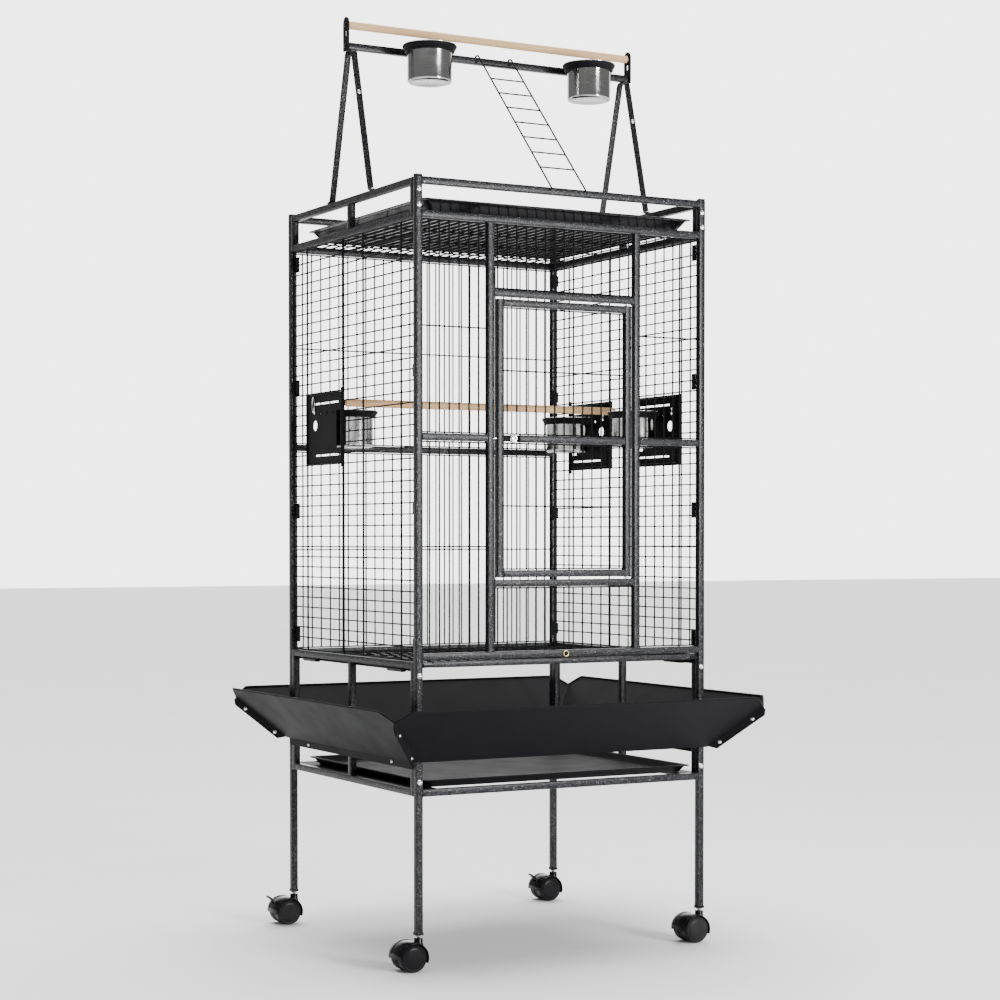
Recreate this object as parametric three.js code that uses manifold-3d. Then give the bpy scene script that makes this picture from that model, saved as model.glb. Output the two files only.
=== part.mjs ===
// Bird cage on a wheeled stand, with a play top, a seed skirt and three swing-out feeders.
// Units are millimetres. +Z is up, +X is the right-hand side seen from the front, and the door faces -Y.
// The origin is on the floor, midway across the width and the depth.
import * as THREE from 'three';
import { mergeVertices } from 'three/addons/utils/BufferGeometryUtils.js';
import Module from 'manifold-3d';

const wasm = await Module();
wasm.setup();

// ---------- driving dimensions ----------

// cage and stand frame
const CAGE_WIDTH = 610;
const CAGE_DEPTH = 565;
const FRAME_HEIGHT = 1405;
const TUBE = 12.7;
const POST_CAP = 4;
const LEG_END_Z = 63;
const STAND_RAIL_Z = 307.5;
const FLOOR_RAIL_Z = 533;
const GRATE_SLOT = 15.3;
const SILL_RISE = 116.5;
const HEADER_DROP = 118.3;
const TRAY_SLOT = 45.8;
const GAP = 0.3;

// wire panels
const WIRE = 2.5;
const GRILLE_PITCH = 40.4;
const MESH_PITCH = 54;
const MESH_ROW_PITCH = 196;
const ROOF_ROW_PITCH = 135;
const TAB = { along: 13, deep: 7, tall: 30 };
const TAB_PITCH = 243;
const TAB_DROP = 25;

// door
const DOOR_WIDTH = 282;
const DOOR_SIDE_GAP = 7;
const DOOR_END_GAP = 4.4;
const DOOR_PIN_R = 2.5;
const DOOR_PIN_GRIP = 6;
const LATCH_BOLT_R = 2.5;
const LATCH_KNOB_R = 7.5;
const LATCH_KNOB_STAND = 6;
const LATCH_TRAVEL = 7;
const LATCH_BLOCK = 9;

// trays and grate
const TRAY_SIDE_GAP = 7;
const TRAY_FRONT_INSET = 12.5;
const TRAY_DEPTH = 506;
const TRAY_LIP = 6;
const TRAY_SLOPE = 10;
const TRAY_CORNER_R = 12;
const SHEET = 1.2;
const PLAY_TRAY_RISE = 23.5;
const BASE_TRAY_RISE = 14.5;
const TRAY_LEDGE = 34;
const GRATE_LEDGE = 12;
const LEDGE_THICK = 2.4;
const GRATE_BAR = { thick: 5, tall: 10 };
const LOCK_RING_R = 5;

// seed skirt
const SKIRT_REACH_X = 100;
const SKIRT_REACH_Y = 97.5;
const SKIRT_FOLD_Z = 370;
const SKIRT_RISE = 98;
const SKIRT_STANDOFF = 3;
const SKIRT_CHAMFER = 45;
const SEAM_REACH = 0.8;
const SEAM_GAP = 0.45;
const SEAM_FLANGE = 15;
const SKIRT_DROP = 14;
const RIM_BEAD_R = 2.2;

// play top
const PLAY_HEIGHT = 330;
const PERCH_OVERHANG = 5;
const BRACKET = { thick: 3, wide: 22, tall: 63 };
const BRACKET_SLOT = { wide: 7, tall: 10 };
const CROSSBAR_LIFT = 2.4;
const PERCH_R = 7.5;
const PERCH_DROP = 15;
const LEG_STRAP = 3;
const LEG_SPREAD = 84;
const LEG_TOP_HALF = 12;
const LEG_FOOT = 12;
const LADDER_X = 3.5;
const LADDER_WIDTH = 76;
const LADDER_ROD_R = 1.5;
const LADDER_RUNGS = 8;
const LADDER_PITCH = 45.2;
const LADDER_FIRST_RUNG = 24;
const LADDER_OVERHANG = 7;

// cups, rings and feeders
const CUP_R = 42;
const CUP_RIM = 8;
const CUP_HEIGHT = 71;
const CUP_WALL = 1.2;
const CUP_FLARE = 10;
const RING_CLEARANCE = 1.2;
const RING_BAR = 4;
const PLAY_CUP_X = [-165, 182];
const PLAY_CUP_CLEARANCE = 4;
const CUP_TOP_DROP = 1.2;
const FEEDER_WIDTH = 160;
const FEEDER_HEIGHT = 135;
const FEEDER_DROP = 37;
const FEEDER_PLATE = 1.5;
const FEEDER_OFFSET = 2.5;
const FEEDER_BARREL_R = 2.5;
const FEEDER_NEAR_EDGE = 10;
const FEEDER_FAR_MARGIN = 9;
const FEEDER_EDGE_Z = 5;
const FEEDER_CUP_CLEARANCE = 5.7;
const FEEDER_CUP_TOP = 103.5;
const LEFT_FEEDER_Y = 113;
const RIGHT_REAR_FEEDER_Y = 132;
const RIGHT_FRONT_FEEDER_Y = -123;
const INNER_PERCH_Y = 30;
const INNER_PERCH_RISE = 76;

// castors
const WHEEL_R = 25;
const WHEEL_WIDTH = 50;
const WEB = 8;
const WEB_GAP = 1;
const AXLE_R = 3;
const HOOD_GAP = 1;
const HOOD_WALL = 2;
const CASTOR_TRAIL = 19;
const BOSS_R = 8;
const BOSS_GAP = 5;
const STEM_R = 3;
const STEM_GRIP = 10.5;
const BORE_CLEARANCE = 0.5;
const LEVER = { long: 18, wide: 14, thick: 3 };
const LEVER_BARREL_R = 2.5;
const LEVER_PIVOT_DEG = 138;
const LEVER_TILT_DEG = 35;

// ---------- levels and faces that follow from them ----------

const HALF_W = CAGE_WIDTH / 2;
const HALF_D = CAGE_DEPTH / 2;
const POST_X = HALF_W - TUBE / 2;
const POST_Y = HALF_D - TUBE / 2;
const INNER_X = HALF_W - TUBE;
const INNER_Y = HALF_D - TUBE;
const TOP_RAIL_Z = FRAME_HEIGHT - POST_CAP - TUBE;
const RAIL_TOP = TOP_RAIL_Z + TUBE;
const ROOF_RAIL_Z = TOP_RAIL_Z - TRAY_SLOT - TUBE;
const ROOF_TOP = ROOF_RAIL_Z + TUBE;
const HEADER_Z = ROOF_RAIL_Z - HEADER_DROP - TUBE;
const FRONT_FLOOR_Z = FLOOR_RAIL_Z + GRATE_SLOT;
const FRONT_FLOOR_TOP = FRONT_FLOOR_Z + TUBE;
const SILL_Z = FRONT_FLOOR_TOP + SILL_RISE;
const DOOR_BOTTOM = SILL_Z + TUBE + DOOR_END_GAP;
const DOOR_TOP = HEADER_Z - DOOR_END_GAP;
const MID_Z = (DOOR_BOTTOM + DOOR_TOP) / 2;
const MID_LOW = MID_Z - TUBE / 2;
const MID_HIGH = MID_Z + TUBE / 2;
const STILE_IN = DOOR_WIDTH / 2 + DOOR_SIDE_GAP;
const STILE_OUT = STILE_IN + TUBE;
const DOOR_X = DOOR_WIDTH / 2;
const DOOR_INNER_X = DOOR_X - TUBE;
const HINGE_X = DOOR_X - TUBE / 2;
const FRAME_TOP = FRAME_HEIGHT + PLAY_HEIGHT;
const CROSSBAR_Z = FRAME_TOP - BRACKET.tall + CROSSBAR_LIFT;
const CROSSBAR_TOP = CROSSBAR_Z + TUBE;
const CUP_RING_R = CUP_R + RING_CLEARANCE;
const CUP_RIM_R = CUP_R + CUP_RIM;
const SKIRT_X = HALF_W + SKIRT_REACH_X;
const SKIRT_Y = HALF_D + SKIRT_REACH_Y;
const PERCH_SPAN = CAGE_WIDTH + 2 * PERCH_OVERHANG;
const MESH_FACE = WIRE / 2;

// ---------- finishes ----------

const finish = (color, roughness, metalness) => new THREE.MeshStandardMaterial({ color, roughness, metalness });
const hammeredBlack = () => finish(0x3b3c40, 0.5, 0.5);
const wireBlack = () => finish(0x1c1d20, 0.45, 0.4);
const sheetBlack = () => finish(0x1a1b1d, 0.35, 0.3);
const steel = () => finish(0xc9cbcc, 0.22, 1);
const beech = () => finish(0xdcc29a, 0.6, 0);
const blackPlastic = () => finish(0x121213, 0.3, 0);
const brass = () => finish(0xb59a4c, 0.3, 1);

// ---------- geometry helpers ----------

/** Welds the shared corners of a geometry, and drops the triangles that this collapses. */
function welded(geometry) {
  const bare = geometry.clone();
  bare.deleteAttribute('normal');
  bare.deleteAttribute('uv');
  const whole = mergeVertices(bare, 1e-4);
  const kept = [];
  for (let i = 0; i < whole.index.count; i += 3) {
    const [a, b, c] = [0, 1, 2].map((k) => whole.index.getX(i + k));
    if (a !== b && b !== c && c !== a) kept.push(a, b, c);
  }
  return whole.setIndex(kept);
}

/** The solid that a closed geometry bounds. */
function solidOf(geometry) {
  const bare = welded(geometry);
  const mesh = new wasm.Mesh({
    numProp: 3,
    vertProperties: new Float32Array(bare.attributes.position.array),
    triVerts: new Uint32Array(bare.index.array),
  });
  return new wasm.Manifold(mesh);
}

/** The geometry of a solid. */
function geometryOf(solid) {
  const { vertProperties, triVerts } = solid.getMesh();
  const geometry = new THREE.BufferGeometry();
  geometry.setAttribute('position', new THREE.BufferAttribute(vertProperties, 3));
  geometry.setIndex(new THREE.BufferAttribute(triVerts, 1));
  return geometry;
}

/** One body from pieces that overlap. */
function join(...pieces) {
  return geometryOf(pieces.map(solidOf).reduce((whole, piece) => whole.add(piece)));
}

/** A body with each tool's space taken out of it. */
function cut(body, ...tools) {
  return geometryOf(tools.map(solidOf).reduce((whole, tool) => whole.subtract(tool), solidOf(body)));
}

/** A box between two opposite corners. */
function block(x0, x1, y0, y1, z0, z1) {
  const box = new THREE.BoxGeometry(Math.abs(x1 - x0), Math.abs(y1 - y0), Math.abs(z1 - z0));
  return box.translate((x0 + x1) / 2, (y0 + y1) / 2, (z0 + z1) / 2);
}

/** A round bar between two points. */
function rod(from, to, radius, sides = 10) {
  const start = new THREE.Vector3(...from);
  const along = new THREE.Vector3(...to).sub(start);
  const bar = new THREE.CylinderGeometry(radius, radius, along.length(), sides);
  bar.translate(0, along.length() / 2, 0);
  const turn = new THREE.Quaternion().setFromUnitVectors(new THREE.Vector3(0, 1, 0), along.normalize());
  return bar.applyQuaternion(turn).translate(...from);
}

/** Lays a geometry drawn in its own x, y plane along two directions, with z on their cross product. */
function laid(geometry, origin, across, up) {
  const u = new THREE.Vector3(...across).normalize();
  const v = new THREE.Vector3(...up).normalize();
  const w = new THREE.Vector3().crossVectors(u, v);
  const place = new THREE.Matrix4().makeBasis(u, v, w).setPosition(...origin);
  return geometry.applyMatrix4(place);
}

/** A sheet of one thickness with the given outline and holes. */
function sheet(outline, thickness, holes = []) {
  const plain = (points, depth) => {
    const shape = new THREE.Shape(points.map(([x, y]) => new THREE.Vector2(x, y)));
    return new THREE.ExtrudeGeometry(shape, { depth, bevelEnabled: false });
  };
  const body = plain(outline, thickness);
  return holes.length ? cut(body, ...holes.map((hole) => plain(hole, thickness + 2).translate(0, 0, -1))) : body;
}

const rectangle = (x0, x1, y0, y1) => [[x0, y0], [x1, y0], [x1, y1], [x0, y1]];

/** A circle as corner points. */
function circle(x, y, radius, sides) {
  return Array.from({ length: sides }, (_, i) => {
    const angle = (2 * Math.PI * i) / sides;
    return [x + radius * Math.cos(angle), y + radius * Math.sin(angle)];
  });
}

/** Points on an arc, from one angle to another in degrees. */
function arc(radius, fromDeg, toDeg, steps) {
  return Array.from({ length: steps + 1 }, (_, i) => {
    const angle = THREE.MathUtils.degToRad(fromDeg + ((toDeg - fromDeg) * i) / steps);
    return [radius * Math.cos(angle), radius * Math.sin(angle)];
  });
}

/** The outline of a bent strip of even thickness whose left-hand face follows the given points. */
function strip(points, thickness) {
  const face = points.map(([x, y]) => new THREE.Vector2(x, y));
  const normals = face.slice(1).map((point, i) => {
    const way = point.clone().sub(face[i]).normalize();
    return new THREE.Vector2(way.y, -way.x);
  });
  const back = face.map((point, i) => {
    const before = normals[Math.max(i - 1, 0)];
    const after = normals[Math.min(i, normals.length - 1)];
    const mitre = before.clone().add(after).normalize();
    return point.clone().addScaledVector(mitre, thickness / mitre.dot(after));
  });
  return [...back, ...face.reverse()].map(({ x, y }) => [x, y]);
}

/** A body turned about the Z axis from a closed profile of [radius, height] points. */
function turned(profile, sides = 20) {
  const points = profile.map(([r, h]) => new THREE.Vector2(r, h));
  return new THREE.LatheGeometry(points, sides).rotateX(Math.PI / 2);
}

/** Centres of wires at an even pitch, centred in a width. */
function wireCentres(width, pitch) {
  const count = Math.max(1, Math.floor(width / pitch));
  const first = (width - (count - 1) * pitch) / 2;
  return Array.from({ length: count }, (_, i) => first + i * pitch);
}

/** Centres of the wires that divide a height evenly into cells no taller than the pitch. */
function rowCentres(height, pitch) {
  const cells = Math.max(2, Math.round(height / pitch));
  return Array.from({ length: cells - 1 }, (_, i) => (height * (i + 1)) / cells);
}

/** A flat grid of square wires inside a border wire, with its lower left corner at the origin. */
function grid(width, height, columns, rows) {
  const edges = (size, centres) => [0, WIRE, ...centres.flatMap((c) => [c - WIRE / 2, c + WIRE / 2]), size - WIRE, size];
  const us = edges(width, columns);
  const vs = edges(height, rows);
  const solid = (i, j) => i >= 0 && j >= 0 && i + 1 < us.length && j + 1 < vs.length && (i % 2 === 0 || j % 2 === 0);
  const positions = [0, WIRE].flatMap((w) => vs.flatMap((v) => us.flatMap((u) => [u, v, w])));
  const corner = (i, j, layer) => (layer * vs.length + j) * us.length + i;
  const index = [];
  const wall = (i, j, k, l) => {
    const [a, b] = [corner(i, j, 0), corner(k, l, 0)];
    const [c, d] = [corner(k, l, 1), corner(i, j, 1)];
    index.push(a, b, c, a, c, d);
  };
  for (let i = 0; i + 1 < us.length; i += 1) {
    for (let j = 0; j + 1 < vs.length; j += 1) {
      if (solid(i, j)) {
        const [a, b, c, d] = [corner(i, j, 1), corner(i + 1, j, 1), corner(i + 1, j + 1, 1), corner(i, j + 1, 1)];
        const [e, f, g, h] = [a, b, c, d].map((point) => point - us.length * vs.length);
        index.push(a, b, c, a, c, d, e, g, f, e, h, g);
        if (!solid(i, j - 1)) wall(i, j, i + 1, j);
        if (!solid(i + 1, j)) wall(i + 1, j, i + 1, j + 1);
        if (!solid(i, j + 1)) wall(i + 1, j + 1, i, j + 1);
        if (!solid(i - 1, j)) wall(i, j + 1, i, j);
      }
    }
  }
  const geometry = new THREE.BufferGeometry();
  geometry.setAttribute('position', new THREE.BufferAttribute(new Float32Array(positions), 3));
  geometry.setIndex(index);
  return geometry;
}

// ---------- posts, rails and side frames ----------

/** Two posts with their castor stems, joined by the rails that the front and the back share. */
function postPair(y) {
  const y0 = y - TUBE / 2;
  const y1 = y + TUBE / 2;
  const rail = (z) => block(-HALF_W, HALF_W, y0, y1, z, z + TUBE);
  const posts = [-1, 1].flatMap((side) => [
    block(side * INNER_X, side * HALF_W, y0, y1, LEG_END_Z, FRAME_HEIGHT),
    rod([side * POST_X, y, LEG_END_Z - BOSS_GAP - STEM_GRIP], [side * POST_X, y, LEG_END_Z + 1], STEM_R),
  ]);
  return [...posts, rail(TOP_RAIL_Z), rail(ROOF_RAIL_Z), rail(STAND_RAIL_Z)];
}

/** The front panel: posts, rails, the door's stiles, header and sill, and the bays' mid rails. */
function frontPanelFrame() {
  const y0 = -HALF_D;
  const y1 = -INNER_Y;
  const frame = join(
    ...postPair(-POST_Y),
    block(-HALF_W, HALF_W, y0, y1, FRONT_FLOOR_Z, FRONT_FLOOR_TOP),
    block(-STILE_OUT, STILE_OUT, y0, y1, HEADER_Z, HEADER_Z + TUBE),
    block(-STILE_OUT, STILE_OUT, y0, y1, SILL_Z, SILL_Z + TUBE),
    ...[-1, 1].flatMap((side) => [
      block(side * STILE_IN, side * STILE_OUT, y0, y1, FRONT_FLOOR_Z, ROOF_TOP),
      block(side * STILE_IN, side * HALF_W, y0, y1, MID_LOW, MID_HIGH),
    ]),
  );
  const pinHole = DOOR_PIN_R + BORE_CLEARANCE;
  const depth = DOOR_PIN_GRIP + GAP;
  return cut(
    frame,
    rod([HINGE_X, -POST_Y, HEADER_Z - 1], [HINGE_X, -POST_Y, HEADER_Z + depth], pinHole),
    rod([HINGE_X, -POST_Y, SILL_Z + TUBE + 1], [HINGE_X, -POST_Y, SILL_Z + TUBE - depth], pinHole),
  );
}

/** The back panel: posts and rails, with one mid rail right across. */
function backPanelFrame() {
  const rail = (z) => block(-HALF_W, HALF_W, INNER_Y, HALF_D, z, z + TUBE);
  return join(...postPair(POST_Y), rail(FLOOR_RAIL_Z), rail(MID_LOW));
}

/** A side ladder of two rails, two end uprights and a middle strut, which bolts between the posts. */
function sideFrame(side, zLow, zHigh) {
  const end = INNER_Y - GAP;
  const x0 = side * INNER_X;
  const x1 = side * HALF_W;
  return [
    block(x0, x1, -end, end, zLow, zLow + TUBE),
    block(x0, x1, -end, end, zHigh, zHigh + TUBE),
    block(x0, x1, -end, -end + TUBE, zLow, zHigh + TUBE),
    block(x0, x1, end - TUBE, end, zLow, zHigh + TUBE),
    block(x0, x1, -TUBE / 2, TUBE / 2, zLow, zHigh + TUBE),
  ];
}

/** The lower side frame, with the ledges that carry the grate and the base tray. */
function bottomFrame(side) {
  const end = INNER_Y - GAP;
  const ledge = (reach, top) => {
    const inner = side * (INNER_X - reach);
    return block(inner, side * (INNER_X + 1), -end, end, top - LEDGE_THICK, top);
  };
  return join(
    ...sideFrame(side, STAND_RAIL_Z, FLOOR_RAIL_Z),
    ledge(TRAY_LEDGE, STAND_RAIL_Z + TUBE),
    ledge(GRATE_LEDGE, FLOOR_RAIL_Z + LEDGE_THICK + 1),
  );
}

// ---------- wire panels ----------

/** A grille between two X positions and two heights in a front or back panel. */
function uprightGrille(y, x0, x1, z0, z1, pitch = GRILLE_PITCH) {
  const width = x1 - x0 - 2 * GAP;
  const height = z1 - z0 - 2 * GAP;
  const wires = grid(width, height, wireCentres(width, pitch), rowCentres(height, height / 2));
  return laid(wires, [x0 + GAP, y + WIRE / 2, z0 + GAP], [1, 0, 0], [0, 0, 1]);
}

/** A short grille with no middle wire, above the header or below the sill. */
function shortGrille(z0, z1) {
  const width = 2 * STILE_IN - 2 * GAP;
  const height = z1 - z0 - 2 * GAP;
  const wires = grid(width, height, wireCentres(width, GRILLE_PITCH), []);
  return laid(wires, [-STILE_IN + GAP, -POST_Y + WIRE / 2, z0 + GAP], [1, 0, 0], [0, 0, 1]);
}

/** Where a feeder door turns: its pivot in plan, and the height of its lower edge. */
function feederPivot(side, y) {
  const plateMiddle = MESH_FACE + FEEDER_OFFSET + FEEDER_PLATE / 2;
  return {
    x: side * (POST_X + plateMiddle),
    y: y + (side * FEEDER_WIDTH) / 2,
    z: MID_Z - FEEDER_DROP,
  };
}

/** A side mesh panel with its hook tabs, and for each feeder an opening, its edge wires and two hinge lugs. */
function sideMesh(side, feederYs) {
  const end = INNER_Y - GAP;
  const z0 = FLOOR_RAIL_Z + TUBE + GAP;
  const z1 = ROOF_RAIL_Z - GAP;
  const width = 2 * end;
  const wires = grid(width, z1 - z0, wireCentres(width, MESH_PITCH), rowCentres(z1 - z0, MESH_ROW_PITCH));
  let panel = laid(wires, [side * POST_X - WIRE / 2, -end, z0], [0, 1, 0], [0, 0, 1]);
  for (const y of feederYs) {
    const pivot = feederPivot(side, y);
    const near = pivot.y - side * FEEDER_NEAR_EDGE;
    const far = pivot.y - side * (FEEDER_WIDTH - FEEDER_FAR_MARGIN);
    const low = pivot.z + FEEDER_EDGE_Z;
    const high = pivot.z + FEEDER_HEIGHT - FEEDER_EDGE_Z;
    const wide = MESH_FACE * 4;
    const x0 = side * POST_X - MESH_FACE;
    const x1 = side * POST_X + MESH_FACE;
    const [y0, y1] = [Math.min(near, far), Math.max(near, far)];
    const lug = (zFrom, zTo) => block(side * (POST_X - MESH_FACE), pivot.x + side * FEEDER_BARREL_R,
      pivot.y - FEEDER_BARREL_R, pivot.y + FEEDER_BARREL_R, zFrom, zTo);
    const stay = (zFrom, zTo) => block(x0, x1, pivot.y - FEEDER_BARREL_R, pivot.y + FEEDER_BARREL_R, zFrom, zTo);
    panel = cut(panel, block(side * POST_X - wide, side * POST_X + wide, y0, y1, low, high));
    panel = join(
      panel,
      block(x0, x1, y0 - WIRE, y0, z0, z1),
      block(x0, x1, y1, y1 + WIRE, z0, z1),
      block(x0, x1, -end, end, low - WIRE, low),
      block(x0, x1, -end, end, high, high + WIRE),
      stay(z0, z1),
      lug(pivot.z - GAP - TAB.deep, pivot.z - GAP),
      lug(pivot.z + FEEDER_HEIGHT + GAP, pivot.z + FEEDER_HEIGHT + GAP + TAB.deep),
    );
  }
  const tabRows = 1 + Math.floor((z1 - z0 - TAB_DROP - TAB.tall / 2) / TAB_PITCH);
  const tabs = Array.from({ length: tabRows }, (_, i) => i).flatMap((i) => {
    const middle = ROOF_RAIL_Z - TAB_DROP - i * TAB_PITCH;
    return [[-end, -end + TAB.along], [end - TAB.along, end]].map(([y0, y1]) => block(
      side * (POST_X - TAB.deep), side * POST_X, y0, y1, middle - TAB.tall / 2, middle + TAB.tall / 2));
  });
  return join(panel, ...tabs);
}

/** The roof grille, flush with the tops of the roof rails. */
function roofGrille() {
  const x = INNER_X - GAP;
  const y = INNER_Y - GAP;
  const wires = grid(2 * x, 2 * y, wireCentres(2 * x, MESH_PITCH), rowCentres(2 * y, ROOF_ROW_PITCH));
  return laid(wires, [-x, -y, ROOF_TOP - WIRE], [1, 0, 0], [0, 1, 0]);
}

// ---------- door ----------

/** The door: a tube frame on two pivot pins, with a mid rail that stops short of the latch. */
function doorFrame() {
  const y0 = -HALF_D;
  const y1 = -INNER_Y;
  const rail = (z) => block(-DOOR_X, DOOR_X, y0, y1, z, z + TUBE);
  const knobRight = latchX() + LATCH_KNOB_R + LATCH_TRAVEL + 1;
  const half = LATCH_BLOCK / 2;
  const pin = (z, way) => rod([HINGE_X, -POST_Y, z - way], [HINGE_X, -POST_Y,
    z + way * (DOOR_END_GAP + DOOR_PIN_GRIP)], DOOR_PIN_R);
  const frame = join(
    rail(DOOR_BOTTOM),
    rail(DOOR_TOP - TUBE),
    block(-DOOR_X, -DOOR_INNER_X, y0, y1, DOOR_BOTTOM, DOOR_TOP),
    block(DOOR_INNER_X, DOOR_X, y0, y1, DOOR_BOTTOM, DOOR_TOP),
    block(knobRight, DOOR_X, y0, y1, MID_LOW, MID_HIGH),
    block(-DOOR_X, -DOOR_INNER_X + LATCH_BLOCK, -POST_Y - half, -POST_Y + half, MID_Z - half, MID_Z + half),
    pin(DOOR_TOP, 1),
    pin(DOOR_BOTTOM, -1),
  );
  const bore = LATCH_BOLT_R + BORE_CLEARANCE;
  return cut(frame, rod([-DOOR_X - 1, -POST_Y, MID_Z], [-DOOR_INNER_X + LATCH_BLOCK + 1, -POST_Y, MID_Z], bore));
}

/** Where the latch knob's centre is across the door. */
function latchX() {
  return -DOOR_INNER_X + LATCH_BLOCK + LATCH_KNOB_R + 0.8;
}

/** The latch: a round knob on a bolt that runs through the door's stile and stops just short of the frame. */
function doorLatch() {
  const x = latchX();
  const back = -POST_Y - WIRE / 2 - 3 * GAP;
  return join(
    rod([x, -HALF_D - LATCH_KNOB_STAND, MID_Z], [x, back, MID_Z], LATCH_KNOB_R, 16),
    rod([x, back - 1, MID_Z], [x, -POST_Y, MID_Z], LATCH_BOLT_R),
    rod([-STILE_IN + 1, -POST_Y, MID_Z], [x + 1, -POST_Y, MID_Z], LATCH_BOLT_R),
  );
}

// ---------- trays and grate ----------

/** Corner points of a rectangle with rounded corners. */
function roundedRectangle(x0, x1, y0, y1, radius) {
  const corners = [[x1, y0, -90], [x1, y1, 0], [x0, y1, 90], [x0, y0, 180]];
  return corners.flatMap(([x, y, from]) => {
    const cx = x > 0 ? x - radius : x + radius;
    const cy = y === y0 ? y + radius : y - radius;
    return arc(radius, from, from + 90, 2).map(([dx, dy]) => [cx + dx, cy + dy]);
  });
}

/** A closed body through a stack of rings that have the same number of points, with flat ends. */
function stacked(rings) {
  const sides = rings[0].points.length;
  const positions = rings.flatMap(({ points, z }) => points.flatMap(([x, y]) => [x, y, z]));
  const index = [];
  for (let r = 0; r + 1 < rings.length; r += 1) {
    for (let i = 0; i < sides; i += 1) {
      const a = r * sides + i;
      const b = r * sides + ((i + 1) % sides);
      index.push(a, b, b + sides, a, b + sides, a + sides);
    }
  }
  const last = (rings.length - 1) * sides;
  for (let i = 1; i + 1 < sides; i += 1) {
    index.push(0, i + 1, i);
    index.push(last, last + i, last + i + 1);
  }
  const geometry = new THREE.BufferGeometry();
  geometry.setAttribute('position', new THREE.BufferAttribute(new Float32Array(positions), 3));
  geometry.setIndex(index);
  return geometry;
}

/** A pressed sheet tray with sloped walls and a flat lip, standing on a given height. */
function tray(z, rise) {
  const x = INNER_X - TRAY_SIDE_GAP;
  const y0 = -HALF_D + TRAY_FRONT_INSET;
  const y1 = y0 + TRAY_DEPTH;
  const ring = (inset, height) => ({
    points: roundedRectangle(-x + inset, x - inset, y0 + inset, y1 - inset, TRAY_CORNER_R),
    z: z + height,
  });
  const foot = TRAY_LIP + TRAY_SLOPE;
  return stacked([
    ring(foot, 0),
    ring(TRAY_LIP, rise - SHEET),
    ring(0, rise - SHEET),
    ring(0, rise),
    ring(TRAY_LIP + SHEET, rise),
    ring(foot + SHEET, SHEET),
  ]);
}

/** The floor grate: a wire grid behind a flat front bar, which slides out under the front floor rail. */
function floorGrate() {
  const x = INNER_X - 2 * GAP - 3;
  const y0 = -HALF_D + GRATE_BAR.thick / 2;
  const y1 = INNER_Y - 6;
  const z = FLOOR_RAIL_Z + LEDGE_THICK + 1 + GAP;
  const wires = grid(2 * x, y1 - y0, wireCentres(2 * x, MESH_PITCH), rowCentres(y1 - y0, MESH_ROW_PITCH * 2));
  const barX = INNER_X - 1;
  const barZ = z - 1;
  return join(
    laid(wires, [-x, y0, z], [1, 0, 0], [0, 1, 0]),
    block(-barX, barX, -HALF_D, -HALF_D + GRATE_BAR.thick, barZ, barZ + GRATE_BAR.tall),
  );
}

/** The grate lock: a pull ring on a short stem at the middle of the front floor rail. */
function grateLock() {
  const z = FRONT_FLOOR_Z + TUBE / 2;
  const ring = new THREE.TorusGeometry(LOCK_RING_R, LOCK_RING_R / 4, 6, 12);
  ring.rotateX(Math.PI / 2).translate(0, -HALF_D - LOCK_RING_R / 4 - GAP, z);
  const stem = rod([0, -HALF_D - GAP, z], [0, -HALF_D - LOCK_RING_R / 2 - GAP, z], LOCK_RING_R, 8);
  return join(ring, stem);
}

// ---------- seed skirt ----------

/** One sloped skirt panel facing -Y, with bolted corner flanges, a rim bead and an optional drop flange. */
function skirtPanel(halfIn, distIn, halfOut, distOut, drop) {
  const run = distOut - distIn;
  const slope = Math.hypot(run, SKIRT_RISE);
  const seamHalf = halfIn + (halfOut - halfIn) * SEAM_REACH - SEAM_GAP;
  const rimHalf = halfOut - SKIRT_CHAMFER;
  const inHalf = halfIn - SEAM_GAP;
  const edge = slope - RIM_BEAD_R;
  const outline = [
    [-inHalf, 0], [inHalf, 0], [seamHalf, slope * SEAM_REACH],
    [rimHalf, edge], [-rimHalf, edge], [-seamHalf, slope * SEAM_REACH],
  ];
  const up = [0, -run, SKIRT_RISE];
  const pieces = [laid(sheet(outline, SHEET), [0, -distIn, SKIRT_FOLD_Z], [1, 0, 0], up)];
  const rimZ = SKIRT_FOLD_Z + SKIRT_RISE - RIM_BEAD_R;
  const rimY = -distOut + RIM_BEAD_R;
  pieces.push(rod([-rimHalf, rimY, rimZ], [rimHalf, rimY, rimZ], RIM_BEAD_R, 8));
  for (const side of [-1, 1]) {
    pieces.push(seamFlange(side, halfIn, distIn, halfOut, distOut));
  }
  if (drop > 0) {
    const reach = inHalf - TUBE;
    const face = -distIn - SHEET / 2;
    pieces.push(block(-reach, reach, face, face + SHEET, SKIRT_FOLD_Z - drop, SKIRT_FOLD_Z + SHEET / 2));
  }
  return join(...pieces);
}

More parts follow.
